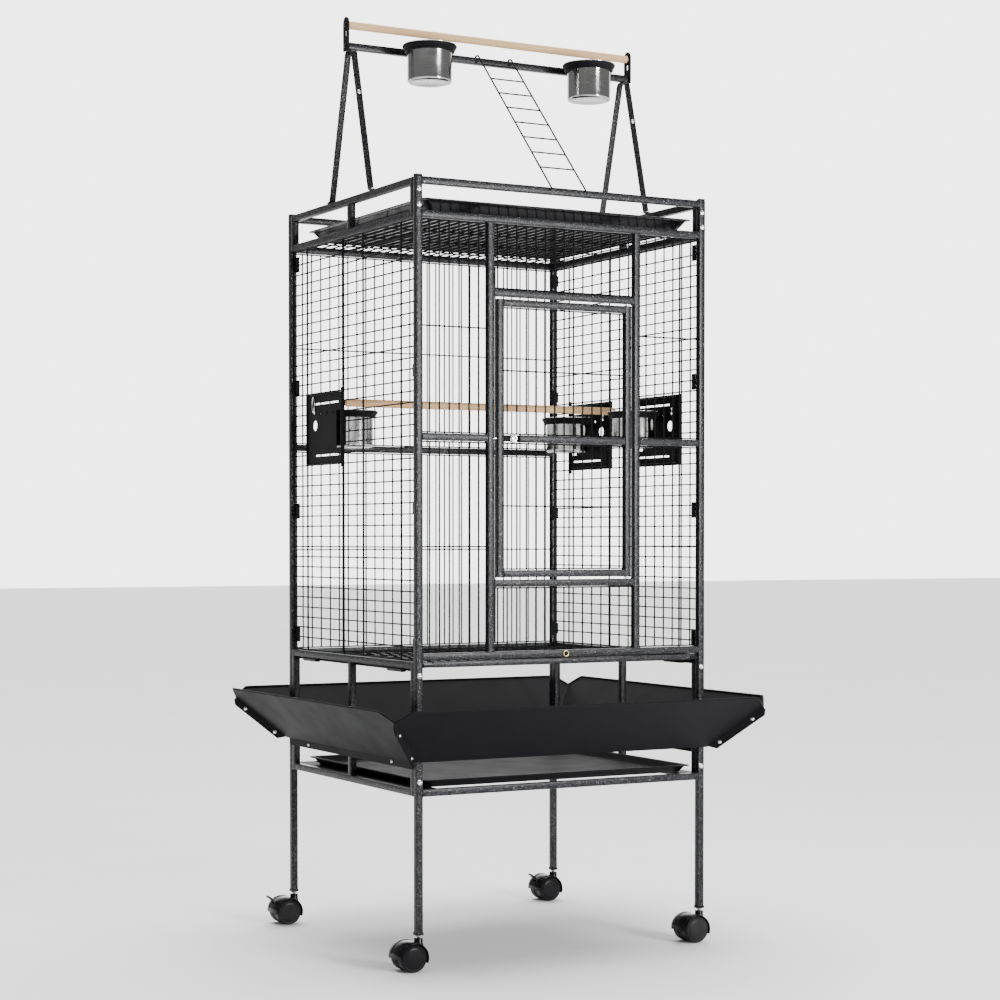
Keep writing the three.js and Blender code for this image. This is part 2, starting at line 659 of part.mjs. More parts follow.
/** The flange along a mitred corner, folded out and down in the corner's own upright plane. */
function seamFlange(side, halfIn, distIn, halfOut, distOut) {
  const across = halfOut - halfIn;
  const run = distOut - distIn;
  const out = Math.hypot(across, run);
  const tilt = Math.atan2(SKIRT_RISE, out);
  const reach = Math.hypot(out, SKIRT_RISE) * SEAM_REACH;
  const seam = (s, w) => [s * Math.cos(tilt) + w * Math.sin(tilt), s * Math.sin(tilt) - w * Math.cos(tilt)];
  const outline = [seam(1, -SHEET / 2), seam(SEAM_FLANGE, SEAM_FLANGE), seam(reach - SEAM_FLANGE / 2, SEAM_FLANGE),
    seam(reach, SEAM_FLANGE / 2), seam(reach, -SHEET / 2)];
  const radial = [(side * across) / out, -run / out, 0];
  const away = new THREE.Vector3(...radial).cross(new THREE.Vector3(0, 0, 1));
  const inward = away.x * side < 0 ? 1 : -1;
  const offset = inward > 0 ? SEAM_GAP * 0.7 : -SEAM_GAP * 0.7 - SHEET;
  const origin = new THREE.Vector3(side * halfIn, -distIn, SKIRT_FOLD_Z).addScaledVector(away, offset);
  return laid(sheet(outline, SHEET), origin.toArray(), radial, [0, 0, 1]);
}

/** The four skirt panels, keyed by the side that each one faces. */
function skirtPanels() {
  const inX = HALF_W + SKIRT_STANDOFF;
  const inY = HALF_D + SKIRT_STANDOFF;
  const front = () => skirtPanel(inX, inY, SKIRT_X, SKIRT_Y, 0);
  const end = () => skirtPanel(inY, inX, SKIRT_Y, SKIRT_X, SKIRT_DROP);
  return {
    front: front(),
    back: front().rotateZ(Math.PI),
    right: end().rotateZ(Math.PI / 2),
    left: end().rotateZ(-Math.PI / 2),
  };
}

// ---------- play top ----------

/** An A-shaped stand bent from one flat strap, with its feet on a side top rail. */
function playStand(side) {
  const top = CROSSBAR_Z - GAP;
  const foot = RAIL_TOP + GAP + LEG_STRAP;
  const line = [
    [-LEG_SPREAD - LEG_FOOT, foot], [-LEG_SPREAD, foot], [-LEG_TOP_HALF, top],
    [LEG_TOP_HALF, top], [LEG_SPREAD, foot], [LEG_SPREAD + LEG_FOOT, foot],
  ];
  return laid(sheet(strip(line, LEG_STRAP), TUBE), [side * POST_X - TUBE / 2, 0, 0], [0, 1, 0], [0, 0, 1]);
}

/** A round-topped end plate with two slots, which holds the perch and the crossbar. */
function perchBracket(side) {
  const half = BRACKET.wide / 2;
  const z0 = FRAME_TOP - BRACKET.tall;
  const crown = arc(half, 0, 180, 6).map(([y, z]) => [y, FRAME_TOP - half + z]);
  const slot = (z) => rectangle(-BRACKET_SLOT.wide / 2, BRACKET_SLOT.wide / 2, z - BRACKET_SLOT.tall / 2,
    z + BRACKET_SLOT.tall / 2);
  const plate = sheet([[-half, z0], [half, z0], ...crown], BRACKET.thick, [
    slot(FRAME_TOP - PERCH_DROP),
    slot(FRAME_TOP - PERCH_DROP - 2 * PERCH_R - 1),
  ]);
  const x = side > 0 ? PERCH_SPAN / 2 - BRACKET.thick : -PERCH_SPAN / 2;
  return laid(plate, [x, 0, 0], [0, 1, 0], [0, 0, 1]);
}

/** How far the crossbar and the top perch reach on each side. */
const PERCH_END = PERCH_SPAN / 2 - BRACKET.thick - GAP;

/** A wooden perch along X. */
function perch(reach, y, z) {
  return rod([-reach, y, z], [reach, y, z], PERCH_R, 16);
}

/** The ladder: two rods hooked over the crossbar that lean on the front top rail, and their rungs. */
function ladder() {
  const centre = { y: 0, z: CROSSBAR_Z + TUBE / 2 };
  const hookR = Math.SQRT1_2 * TUBE + LADDER_ROD_R + 2 * GAP;
  const edge = { y: -HALF_D - centre.y, z: RAIL_TOP - centre.z };
  const reach = Math.hypot(edge.y, edge.z);
  const lean = Math.acos((hookR - LADDER_ROD_R - GAP) / reach) - Math.atan2(-edge.z, -edge.y);
  const down = [-Math.sin(lean), -Math.cos(lean)];
  const out = [-Math.cos(lean), Math.sin(lean)];
  const at = (x, s) => [x, centre.y + hookR * out[0] + s * down[0], centre.z + hookR * out[1] + s * down[1]];
  const start = Math.atan2(out[1], out[0]);
  const pieces = [];
  for (const side of [-1, 1]) {
    const x = LADDER_X + (side * (LADDER_WIDTH - 2 * LADDER_ROD_R)) / 2;
    const hook = Array.from({ length: 9 }, (_, i) => {
      const angle = start - ((THREE.MathUtils.degToRad(150)) * (8 - i)) / 8;
      return new THREE.Vector3(x, centre.y + hookR * Math.cos(angle), centre.z + hookR * Math.sin(angle));
    });
    for (let i = 0; i + 1 < hook.length; i += 1) {
      const way = hook[i + 1].clone().sub(hook[i]).setLength(0.4);
      pieces.push(rod(hook[i].clone().sub(way).toArray(), hook[i + 1].clone().add(way).toArray(), LADDER_ROD_R, 6));
    }
    pieces.push(rod(at(x, -1), at(x, reach + LADDER_OVERHANG), LADDER_ROD_R, 6));
  }
  const half = LADDER_WIDTH / 2 - LADDER_ROD_R;
  for (let i = 0; i < LADDER_RUNGS; i += 1) {
    const s = LADDER_FIRST_RUNG + i * LADDER_PITCH;
    pieces.push(rod(at(LADDER_X - half, s), at(LADDER_X + half, s), LADDER_ROD_R * 0.9, 6));
  }
  return join(...pieces);
}

// ---------- cups, rings and feeders ----------

/** A steel cup with a flared rim, standing on its base at the given point. */
function cup(x, y, z) {
  const wall = CUP_R - CUP_WALL;
  return turned([
    [0, 0], [CUP_R - 3, 0], [CUP_R, 3], [CUP_R, CUP_HEIGHT - CUP_FLARE], [CUP_RIM_R, CUP_HEIGHT - 2],
    [CUP_RIM_R, CUP_HEIGHT], [CUP_RIM_R - 1, CUP_HEIGHT], [wall, CUP_HEIGHT - CUP_FLARE + 1], [wall, 3.5],
    [wall - 3, CUP_WALL], [0, CUP_WALL],
  ]).translate(x, y, z);
}

/** A flat bar ring that a cup's flare sits on, with its top face at the given height. */
function cupRing(x, y, top) {
  const outer = CUP_RING_R + RING_BAR;
  return turned([
    [CUP_RING_R, -RING_BAR], [outer, -RING_BAR], [outer, 0], [CUP_RING_R, 0], [CUP_RING_R, -RING_BAR],
  ], 24).translate(x, y, top);
}

/** Where a play-top cup's axis is in front of the crossbar. */
const PLAY_CUP_Y = -TUBE / 2 - CUP_RIM_R - PLAY_CUP_CLEARANCE;

/** A play-top cup ring on a strap that hooks over the crossbar. */
function playCupRing(x) {
  const cupTop = CROSSBAR_TOP - CUP_TOP_DROP;
  const ringTop = cupTop - CUP_FLARE;
  const face = -TUBE / 2 - GAP;
  const top = CROSSBAR_TOP + GAP + 2;
  const low = ringTop - 2 * RING_BAR;
  const hook = strip([[face - 2, low], [face - 2, top], [-face + 2, top], [-face + 2, CROSSBAR_Z + 3]], 2);
  const strapX = 12;
  return join(
    cupRing(x, PLAY_CUP_Y, ringTop),
    laid(sheet(hook, 2 * strapX), [x - strapX, 0, 0], [0, 1, 0], [0, 0, 1]),
    block(x - strapX, x + strapX, PLAY_CUP_Y + CUP_RING_R + 1.5, face - 1, low, ringTop),
  );
}

/** A play-top cup in its ring. */
function playCup(x) {
  return cup(x, PLAY_CUP_Y, CROSSBAR_TOP - CUP_TOP_DROP - CUP_HEIGHT);
}

/** Where a feeder's cup axis is, measured from the feeder's pivot: inwards, and along the plate. */
const FEEDER_CUP = { inward: FEEDER_PLATE / 2 + CUP_RIM_R + FEEDER_CUP_CLEARANCE, along: FEEDER_WIDTH / 2 };

/** Puts a piece drawn for the left-hand side, about the pivot, at its own feeder. */
function atFeeder(piece, side, y) {
  const pivot = feederPivot(side, y);
  return piece.rotateZ(side > 0 ? Math.PI : 0).translate(pivot.x, pivot.y, pivot.z);
}

/** A feeder door: a pierced plate on a hinge barrel, with the ring that carries its cup. */
function feederDoor(side, y) {
  const free = FEEDER_WIDTH;
  const top = FEEDER_HEIGHT;
  const holes = [
    rectangle(6, 25, 30, top - 35),
    rectangle(14, free - 38, top - 20.5, top - 17),
    rectangle(8, free - 40, 15, 18.5),
    rectangle(free - 34.5, free - 29.5, top - 38, top - 25),
    circle(free - 37, top - 60, 10, 20),
    ...[[61, 3], [93, 4], [121, 3]].map(([u, r]) => circle(free - u, top - 38.5, r, 8)),
  ];
  const plate = sheet(rectangle(0, FEEDER_WIDTH, 0, FEEDER_HEIGHT), FEEDER_PLATE, holes);
  const ringTop = FEEDER_CUP_TOP - CUP_FLARE;
  const stem = [FEEDER_CUP.along - 10, FEEDER_CUP.along + 14];
  const door = join(
    laid(plate, [-FEEDER_PLATE / 2, 0, 0], [0, 1, 0], [0, 0, 1]),
    rod([0, 0, 0], [0, 0, FEEDER_HEIGHT], FEEDER_BARREL_R),
    cupRing(FEEDER_CUP.inward, FEEDER_CUP.along, ringTop),
    block(0, FEEDER_CUP.inward - CUP_RING_R - 1.5, ...stem, ringTop - 2 * RING_BAR, ringTop - 1.7),
  );
  return atFeeder(door, side, y);
}

/** The cup that a feeder door carries. */
function feederCup(side, y) {
  return atFeeder(cup(FEEDER_CUP.inward, FEEDER_CUP.along, FEEDER_CUP_TOP - CUP_HEIGHT), side, y);
}

// ---------- castors ----------

const HOOD_R = WHEEL_R + HOOD_GAP + HOOD_WALL;
const LEVER_AT = {
  x: (HOOD_R + LEVER_BARREL_R + 0.5) * Math.cos(THREE.MathUtils.degToRad(LEVER_PIVOT_DEG)),
  z: (HOOD_R + LEVER_BARREL_R + 0.5) * Math.sin(THREE.MathUtils.degToRad(LEVER_PIVOT_DEG)),
};

/** Puts a piece drawn about the wheel's axis under the post at a corner. */
function atCastor(piece, sideX, sideY) {
  return piece.translate(sideX * POST_X - CASTOR_TRAIL, sideY * POST_Y, WHEEL_R);
}

/** A castor's hood: a curved cover over both wheels, a middle web and the socket for the stem. */
function castorHood(sideX, sideY, braked) {
  const half = WHEEL_WIDTH / 2 + 0.5;
  const cover = [...arc(HOOD_R, -20, 185, 14), ...arc(HOOD_R - HOOD_WALL, -20, 185, 14).reverse()];
  const web = arc(HOOD_R - HOOD_WALL / 2, -20, 200, 14);
  const bossTop = LEG_END_Z - BOSS_GAP - WHEEL_R;
  const ear = (y) => block(LEVER_AT.x - 3, LEVER_AT.x + 5, y, y + 2.5, LEVER_AT.z - 6, LEVER_AT.z + 2);
  const pieces = [
    laid(sheet(cover, 2 * half), [0, half, 0], [1, 0, 0], [0, 0, 1]),
    laid(sheet(web, WEB), [0, WEB / 2, 0], [1, 0, 0], [0, 0, 1]),
    rod([CASTOR_TRAIL, 0, bossTop - 14], [CASTOR_TRAIL, 0, bossTop], BOSS_R, 16),
  ];
  if (braked) {
    pieces.push(ear(LEVER.wide / 2 + 0.5), ear(-LEVER.wide / 2 - 3));
  }
  const hood = cut(
    join(...pieces),
    rod([CASTOR_TRAIL, 0, bossTop - STEM_GRIP - 1], [CASTOR_TRAIL, 0, bossTop + 1], STEM_R + BORE_CLEARANCE, 12),
    rod([0, -WEB, 0], [0, WEB, 0], AXLE_R + BORE_CLEARANCE, 12),
    ...[-1, 1].map((way) => rod([0, way * (WEB / 2 + GAP), 0], [0, way * (half + 1), 0], WHEEL_R + HOOD_GAP, 28)),
  );
  return atCastor(hood, sideX, sideY);
}

/** A castor's two wheels on their axle. */
function castorWheels(sideX, sideY) {
  const outer = WHEEL_WIDTH / 2;
  const inner = WEB / 2 + WEB_GAP;
  const profile = [
    [0, -outer], [WHEEL_R - 5, -outer], [WHEEL_R, -outer + 4], [WHEEL_R, -inner], [AXLE_R, -inner],
    [AXLE_R, inner], [WHEEL_R, inner], [WHEEL_R, outer - 4], [WHEEL_R - 5, outer], [0, outer],
  ];
  return atCastor(turned(profile, 20).rotateX(-Math.PI / 2), sideX, sideY);
}

/** The brake lever that stands up behind a rear castor's hood. */
function brakeLever(sideX, sideY) {
  const tilt = THREE.MathUtils.degToRad(LEVER_TILT_DEG);
  const half = LEVER.wide / 2;
  const pedal = block(-LEVER.long, 0, -half, half, -LEVER.thick / 2, LEVER.thick / 2).rotateY(tilt);
  const lever = join(pedal, rod([0, -half, 0], [0, half, 0], LEVER_BARREL_R));
  return atCastor(lever.translate(LEVER_AT.x, 0, LEVER_AT.z), sideX, sideY);
}

// ---------- assembly ----------

const cage = new THREE.Group();

/** Adds one named piece to the cage. */
function add(name, geometry, material) {
  const mesh = new THREE.Mesh(welded(geometry), material);
  mesh.name = name;
  cage.add(mesh);
}

add('front_panel_frame', frontPanelFrame(), hammeredBlack());
add('back_panel_frame', backPanelFrame(), hammeredBlack());
add('left_top_frame', join(...sideFrame(-1, ROOF_RAIL_Z, TOP_RAIL_Z)), hammeredBlack());
add('right_top_frame', join(...sideFrame(1, ROOF_RAIL_Z, TOP_RAIL_Z)), hammeredBlack());
add('left_bottom_frame', bottomFrame(-1), hammeredBlack());
add('right_bottom_frame', bottomFrame(1), hammeredBlack());

add('left_mesh_panel', sideMesh(-1, [LEFT_FEEDER_Y]), wireBlack());
add('right_mesh_panel', sideMesh(1, [RIGHT_REAR_FEEDER_Y, RIGHT_FRONT_FEEDER_Y]), wireBlack());
add('roof_grille', roofGrille(), wireBlack());
for (const [name, x0, x1] of [['left', -INNER_X, -STILE_OUT], ['right', STILE_OUT, INNER_X]]) {
  add(`front_${name}_upper_grille`, uprightGrille(-POST_Y, x0, x1, MID_HIGH, ROOF_RAIL_Z), wireBlack());
  add(`front_${name}_lower_grille`, uprightGrille(-POST_Y, x0, x1, FRONT_FLOOR_TOP, MID_LOW), wireBlack());
}
add('front_top_grille', shortGrille(HEADER_Z + TUBE, ROOF_RAIL_Z), wireBlack());
add('front_bottom_grille', shortGrille(FRONT_FLOOR_TOP, SILL_Z), wireBlack());
add('back_upper_grille', uprightGrille(POST_Y, -INNER_X, INNER_X, MID_HIGH, ROOF_RAIL_Z), wireBlack());
add('back_lower_grille', uprightGrille(POST_Y, -INNER_X, INNER_X, FLOOR_RAIL_Z + TUBE, MID_LOW), wireBlack());

add('door_frame', doorFrame(), hammeredBlack());
const doorGrille = (z0, z1) => uprightGrille(-POST_Y, -DOOR_INNER_X, DOOR_INNER_X, z0, z1);
add('door_upper_grille', doorGrille(MID_HIGH, DOOR_TOP - TUBE), wireBlack());
add('door_lower_grille', doorGrille(DOOR_BOTTOM + TUBE, MID_LOW), wireBlack());
add('door_latch', doorLatch(), steel());

for (const [side, geometry] of Object.entries(skirtPanels())) {
  add(`skirt_${side}`, geometry, sheetBlack());
}

add('play_tray', tray(ROOF_TOP + GAP, PLAY_TRAY_RISE), sheetBlack());
add('base_tray', tray(STAND_RAIL_Z + TUBE + GAP, BASE_TRAY_RISE), sheetBlack());
add('floor_grate', floorGrate(), wireBlack());
add('grate_lock', grateLock(), brass());

add('left_play_stand', playStand(-1), hammeredBlack());
add('right_play_stand', playStand(1), hammeredBlack());
add('left_perch_bracket', perchBracket(-1), sheetBlack());
add('right_perch_bracket', perchBracket(1), sheetBlack());
add('play_crossbar', block(-PERCH_END, PERCH_END, -TUBE / 2, TUBE / 2, CROSSBAR_Z, CROSSBAR_TOP), hammeredBlack());
add('top_perch', perch(PERCH_END, 0, FRAME_TOP - PERCH_DROP), beech());
add('inner_perch', perch(POST_X - MESH_FACE - GAP, INNER_PERCH_Y, MID_Z + INNER_PERCH_RISE), beech());
add('ladder', ladder(), wireBlack());

for (const [name, x] of [['left', PLAY_CUP_X[0]], ['right', PLAY_CUP_X[1]]]) {
  add(`${name}_play_cup_ring`, playCupRing(x), sheetBlack());
  add(`${name}_play_cup`, playCup(x), steel());
}
const feeders = [
  ['left', -1, LEFT_FEEDER_Y],
  ['right_rear', 1, RIGHT_REAR_FEEDER_Y],
  ['right_front', 1, RIGHT_FRONT_FEEDER_Y],
];
for (const [name, side, y] of feeders) {
  add(`${name}_feeder_door`, feederDoor(side, y), sheetBlack());
  add(`${name}_feeder_cup`, feederCup(side, y), steel());
}

const corners = [
  ['front_left', -1, -1],
  ['front_right', 1, -1],
  ['rear_left', -1, 1],
  ['rear_right', 1, 1],
];
for (const [name, sideX, sideY] of corners) {
  const braked = sideY > 0;
  add(`${name}_castor_hood`, castorHood(sideX, sideY, braked), blackPlastic());
  add(`${name}_castor_wheels`, castorWheels(sideX, sideY), blackPlastic());
  if (braked) {
    add(`${name}_brake_lever`, brakeLever(sideX, sideY), blackPlastic());
  }
}

export default cage;
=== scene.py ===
"""Looks of a bird cage on a wheeled stand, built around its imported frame.

Lengths are in millimetres until a mesh is made.
"""

import logging
import math
from dataclasses import dataclass, field
from enum import Enum
from typing import Iterable, Sequence

import bpy
import numpy as np
from numpy.typing import NDArray
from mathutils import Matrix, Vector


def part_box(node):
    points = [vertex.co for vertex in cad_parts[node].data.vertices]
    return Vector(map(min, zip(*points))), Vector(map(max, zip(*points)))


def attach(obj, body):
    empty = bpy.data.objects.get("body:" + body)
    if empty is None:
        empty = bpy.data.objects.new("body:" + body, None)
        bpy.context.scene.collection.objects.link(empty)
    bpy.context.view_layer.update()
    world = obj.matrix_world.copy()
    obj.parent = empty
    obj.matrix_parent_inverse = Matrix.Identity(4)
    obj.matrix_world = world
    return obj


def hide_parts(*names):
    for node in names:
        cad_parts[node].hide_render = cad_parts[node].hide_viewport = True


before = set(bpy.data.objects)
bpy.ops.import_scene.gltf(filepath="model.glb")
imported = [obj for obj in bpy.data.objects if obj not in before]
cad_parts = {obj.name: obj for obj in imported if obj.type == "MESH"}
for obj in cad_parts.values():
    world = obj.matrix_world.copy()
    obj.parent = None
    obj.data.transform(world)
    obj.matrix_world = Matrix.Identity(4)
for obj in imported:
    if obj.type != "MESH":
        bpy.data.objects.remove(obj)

Array = NDArray[np.float64]
LOG = logging.getLogger("bird_cage")
MM = 0.001
TURN = 2.0 * math.pi
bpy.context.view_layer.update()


# ---------- surfaces from rings of points ----------


def node_box(name: str) -> tuple[Array, Array]:
    """The corners of a CAD node's box.

    Args:
        name: The node.

    Returns:
        Lowest and highest corner, in millimetres.
    """
    low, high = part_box(name)
    return np.array(low, float) / MM, np.array(high, float) / MM


def unit(vectors: Array) -> Array:
    """Each vector divided by its own length.

    Args:
        vectors: Vectors along the last axis.

    Returns:
        Vectors of length one.
    """
    return vectors / np.linalg.norm(vectors, axis=-1, keepdims=True)


def round_profile(radius: float, sides: int) -> Array:
    """A circle: radius times cos and sin of evenly spaced angles.

    Args:
        radius: Radius of the circle.
        sides: Number of points.

    Returns:
        Points (sides, 2), anticlockwise.
    """
    angle = np.arange(sides) * TURN / sides
    return radius * np.stack([np.cos(angle), np.sin(angle)], axis=1)


def soft_rectangle(half_u: float, half_v: float, corner: float, steps: int = 2) -> Array:
    """A rectangle whose corners are quarter circles: each corner's centre plus the corner radius times cos and sin.

    Args:
        half_u: Half the size along the first direction.
        half_v: Half the size along the second direction.
        corner: Radius of the corners.
        steps: Segments in each corner.

    Returns:
        Points (4 * (steps + 1), 2), anticlockwise.
    """
    quarter = np.linspace(0.0, TURN / 4, steps + 1)
    angle = (np.arange(4)[:, None] * TURN / 4 + quarter[None, :]).ravel()
    sign_u = np.repeat([1.0, -1.0, -1.0, 1.0], steps + 1)
    sign_v = np.repeat([1.0, 1.0, -1.0, -1.0], steps + 1)
    u = sign_u * (half_u - corner) + corner * np.cos(angle)
    v = sign_v * (half_v - corner) + corner * np.sin(angle)
    return np.stack([u, v], axis=1)


def rods(starts: Array, ends: Array, radius: float, sides: int = 8) -> Array:
    """Round bars: at both ends, the centre plus radius times (cos u + sin v), where u and v are square to the bar.

    Args:
        starts: First ends (M, 3).
        ends: Second ends (M, 3).
        radius: Radius of every bar.
        sides: Points around each bar.

    Returns:
        Rings (M, 2, sides, 3).
    """
    starts, ends = np.atleast_2d(starts).astype(float), np.atleast_2d(ends).astype(float)
    along = unit(ends - starts)
    upright = np.abs(along[:, 2:3]) > 0.9
    helper = np.where(upright, [[1.0, 0.0, 0.0]], [[0.0, 0.0, 1.0]])
    u = unit(np.cross(along, helper))
    v = np.cross(along, u)
    circle = round_profile(radius, sides)
    ring = circle[None, :, 0:1] * u[:, None, :] + circle[None, :, 1:2] * v[:, None, :]
    return np.stack([starts[:, None, :] + ring, ends[:, None, :] + ring], axis=1)


def bars(boxes: Sequence[Sequence[float]], corner: float = 1.2, steps: int = 2, skin: float = 0.0) -> Array:
    """Square bars with rounded edges: a soft rectangle carried along each box's longest side.

    It is a little smaller at the ends.

    Args:
        boxes: Each x0, x1, y0, y1, z0, z1.
        corner: Radius of the long edges.
        steps: Segments in each rounded edge.
        skin: How far the faces stand inside the box.

    Returns:
        Rings (M, 4, P, 3).
    """
    given = np.array(boxes, float).reshape(-1, 3, 2)
    given.sort(axis=2)
    rings = []
    for box in given:
        size = box[:, 1] - box[:, 0]
        w = int(np.argmax(size))
        u, v = (w + 1) % 3, (w + 2) % 3
        middle = box.mean(axis=1)
        ease = corner * 0.5
        stations = [(box[w, 0], ease), (box[w, 0] + ease, 0.0), (box[w, 1] - ease, 0.0), (box[w, 1], ease)]
        layers = []
        for place, inset in stations:
            half = size / 2 - skin - inset
            outline = soft_rectangle(half[u], half[v], min(corner, half[u] * 0.9, half[v] * 0.9), steps)
            ring = np.empty((len(outline), 3))
            ring[:, w] = place
            ring[:, u] = middle[u] + outline[:, 0]
            ring[:, v] = middle[v] + outline[:, 1]
            layers.append(ring)
        rings.append(layers)
    return np.array(rings)


def carried(path: Array, profile: Array, binormal: Sequence[float], closed: bool = False) -> Array:
    """A profile carried along a path that lies in one plane: path plus n times its normal plus b times the binormal.

    Args:
        path: Points (R, 3) in a plane.
        profile: Points (P, 2) along the path's normal and along the binormal.
        binormal: The direction square to the path's plane.
        closed: Whether the path meets itself.

    Returns:
        Rings (1, R, P, 3).
    """
    b = unit(np.array(binormal, float))
    if closed:
        ahead, behind = np.roll(path, -1, axis=0) - path, path - np.roll(path, 1, axis=0)
    else:
        step = np.diff(path, axis=0)
        ahead, behind = np.vstack([step, step[-1:]]), np.vstack([step[:1], step])
    normal_a, normal_b = np.cross(b, unit(ahead)), np.cross(b, unit(behind))
    mitre = unit(normal_a + normal_b)
    mitre = mitre / np.sum(mitre * normal_a, axis=1, keepdims=True)
    rings = path[:, None, :] + profile[None, :, 0:1] * mitre[:, None, :] + profile[None, :, 1:2] * b
    return rings[None]


def turned(profile: Array, centres: Array, axes: Array, sides: int) -> Array:
    """Turned bodies: for each centre and axis, centre plus height times the axis plus radius times a circle round it.

    Args:
        profile: Points (R, 2) of radius and height, from the first end to the last.
        centres: Centres (M, 3).
        axes: Axis of each body (M, 3).
        sides: Points around.

    Returns:
        Rings (M, R, sides, 3).
    """
    centres = np.atleast_2d(centres).astype(float)
    axis = unit(np.broadcast_to(np.atleast_2d(axes).astype(float), centres.shape))
    upright = np.abs(axis[:, 2:3]) > 0.9
    u = unit(np.cross(axis, np.where(upright, [[0.0, 1.0, 0.0]], [[0.0, 0.0, 1.0]])))
    v = np.cross(axis, u)
    circle = round_profile(1.0, sides)
    spoke = circle[None, :, 0:1] * u[:, None, :] + circle[None, :, 1:2] * v[:, None, :]
    radius, height = profile[:, 0], profile[:, 1]
    out = radius[None, :, None, None] * spoke[:, None, :, :]
    lift = height[None, :, None, None] * axis[:, None, None, :]
    return centres[:, None, None, :] + out + lift


def filleted(corners: Sequence[Sequence[float]], radius: float, steps: int = 5) -> Array:
    """A path whose corners are replaced by quadratic curves that leave each corner's sides at the given distance.

    Args:
        corners: Points (N, 3).
        radius: Distance from each corner at which its curve starts.
        steps: Segments in each curve.

    Returns:
        Points of the path.
    """
    points = np.array(corners, float)
    path = [points[:1]]
    t = np.linspace(0.0, 1.0, steps + 1)[:, None]
    for before, corner, after in zip(points[:-2], points[1:-1], points[2:]):
        reach_in = min(radius, np.linalg.norm(before - corner) * 0.45)
        reach_out = min(radius, np.linalg.norm(after - corner) * 0.45)
        start = corner + unit(before - corner) * reach_in
        end = corner + unit(after - corner) * reach_out
        path.append((1 - t) ** 2 * start + 2 * t * (1 - t) * corner + t**2 * end)
    path.append(points[-1:])
    return np.vstack(path)


def arc_path(centre: Sequence[float], radius: float, start: float, end: float, steps: int, plane: str) -> Array:
    """An arc: centre plus radius times cos along the plane's first axis and sin along its second.

    Args:
        centre: Centre of the arc.
        radius: Radius of the arc.
        start: First angle in degrees.
        end: Last angle in degrees.
        steps: Number of segments.
        plane: Two letters that name the plane's axes, such as "xz".

    Returns:
        Points (steps + 1, 3).
    """
    angle = np.radians(np.linspace(start, end, steps + 1))
    points = np.tile(np.array(centre, float), (steps + 1, 1))
    points[:, "xyz".index(plane[0])] += radius * np.cos(angle)
    points[:, "xyz".index(plane[1])] += radius * np.sin(angle)
    return points


@dataclass
class Surface:
    """Rings of points gathered into one mesh."""

    points: list[Array] = field(default_factory=list)
    quads: list[Array] = field(default_factory=list)
    caps: list[list[int]] = field(default_factory=list)
    count: int = 0

    def add(self, rings: Array, closed: bool = False) -> "Surface":
        """Adds tubes: each ring's point k joins k + 1 and the next ring, and open tubes get flat ends.

        Args:
            rings: Rings (M, R, P, 3).
            closed: Whether the last ring joins the first.

        Returns:
            This surface.
        """
        bodies, layers, sides = rings.shape[:3]
        index = self.count + np.arange(bodies * layers * sides).reshape(bodies, layers, sides)
        lower = index if closed else index[:, :-1]
        upper = np.roll(index, -1, axis=1) if closed else index[:, 1:]
        quad = np.stack([lower, np.roll(lower, -1, axis=2), np.roll(upper, -1, axis=2), upper], axis=-1)
        self.points.append(rings.reshape(-1, 3))
        self.quads.append(quad.reshape(-1, 4))
        if not closed:
            self.caps += index[:, 0, ::-1].tolist() + index[:, -1].tolist()
        self.count += bodies * layers * sides
        return self

    def mesh(self, name: str, sharp_degrees: float) -> bpy.types.Object:
        """Makes the object.

        Args:
            name: Name of the object.
            sharp_degrees: Edges sharper than this stay crisp.

        Returns:
            The new object, at the origin.
        """
        data = bpy.data.meshes.new(name)
        faces = np.vstack(self.quads).tolist() + self.caps
        data.from_pydata((np.vstack(self.points) * MM).tolist(), [], faces)
        data.validate()
        data.polygons.foreach_set("use_smooth", np.ones(len(data.polygons), bool))
        data.set_sharp_from_angle(angle=math.radians(sharp_degrees))
        data.update()
        piece = bpy.data.objects.new(name, data)
        bpy.context.scene.collection.objects.link(piece)
        return piece


# ---------- shader effects shared by the finishes ----------


class Effect(Enum):
    """Patterns that more than one finish uses."""

    VEINS = "coat_veins"
    PEEL = "coat_peel"
    PATCHES = "soft_patches"
    BRUSHED = "brushed_lines"


def new_node(tree: bpy.types.NodeTree, kind: str, values: dict[str, object]) -> bpy.types.Node:
    """Adds a node and sets its inputs.

    Args:
        tree: Where the node goes.
        kind: Blender's name for the node's type.
        values: Input name to a value, or to an output to link from.

    Returns:
        The node.
    """
    node = tree.nodes.new(kind)
    for name, value in values.items():
        if isinstance(value, bpy.types.NodeSocket):
            tree.links.new(value, node.inputs[name])
        else:
            node.inputs[name].default_value = value
    return node


def math_node(tree: bpy.types.NodeTree, operation: str, first: object, second: object) -> bpy.types.NodeSocket:
    """Adds a Math node.

    Args:
        tree: Where the node goes.
        operation: Blender's name for the operation.
        first: A number or an output.
        second: A number or an output.

    Returns:
        The result.
    """
    node = tree.nodes.new("ShaderNodeMath")
    node.operation = operation
    for slot, value in enumerate((first, second)):
        if isinstance(value, bpy.types.NodeSocket):
            tree.links.new(value, node.inputs[slot])
        else:
            node.inputs[slot].default_value = value
    return node.outputs[0]


def remap(tree: bpy.types.NodeTree, value: object, low: object, high: object) -> bpy.types.NodeSocket:
    """Stretches a value so that low becomes 0 and high becomes 1, and holds it there.

    Args:
        tree: Where the node goes.
        value: The output to stretch.
        low: Value that becomes 0.
        high: Value that becomes 1.

    Returns:
        The stretched value.
    """
    wanted = {"Value": value, "From Min": low, "From Max": high}
    return new_node(tree, "ShaderNodeMapRange", wanted).outputs[0]


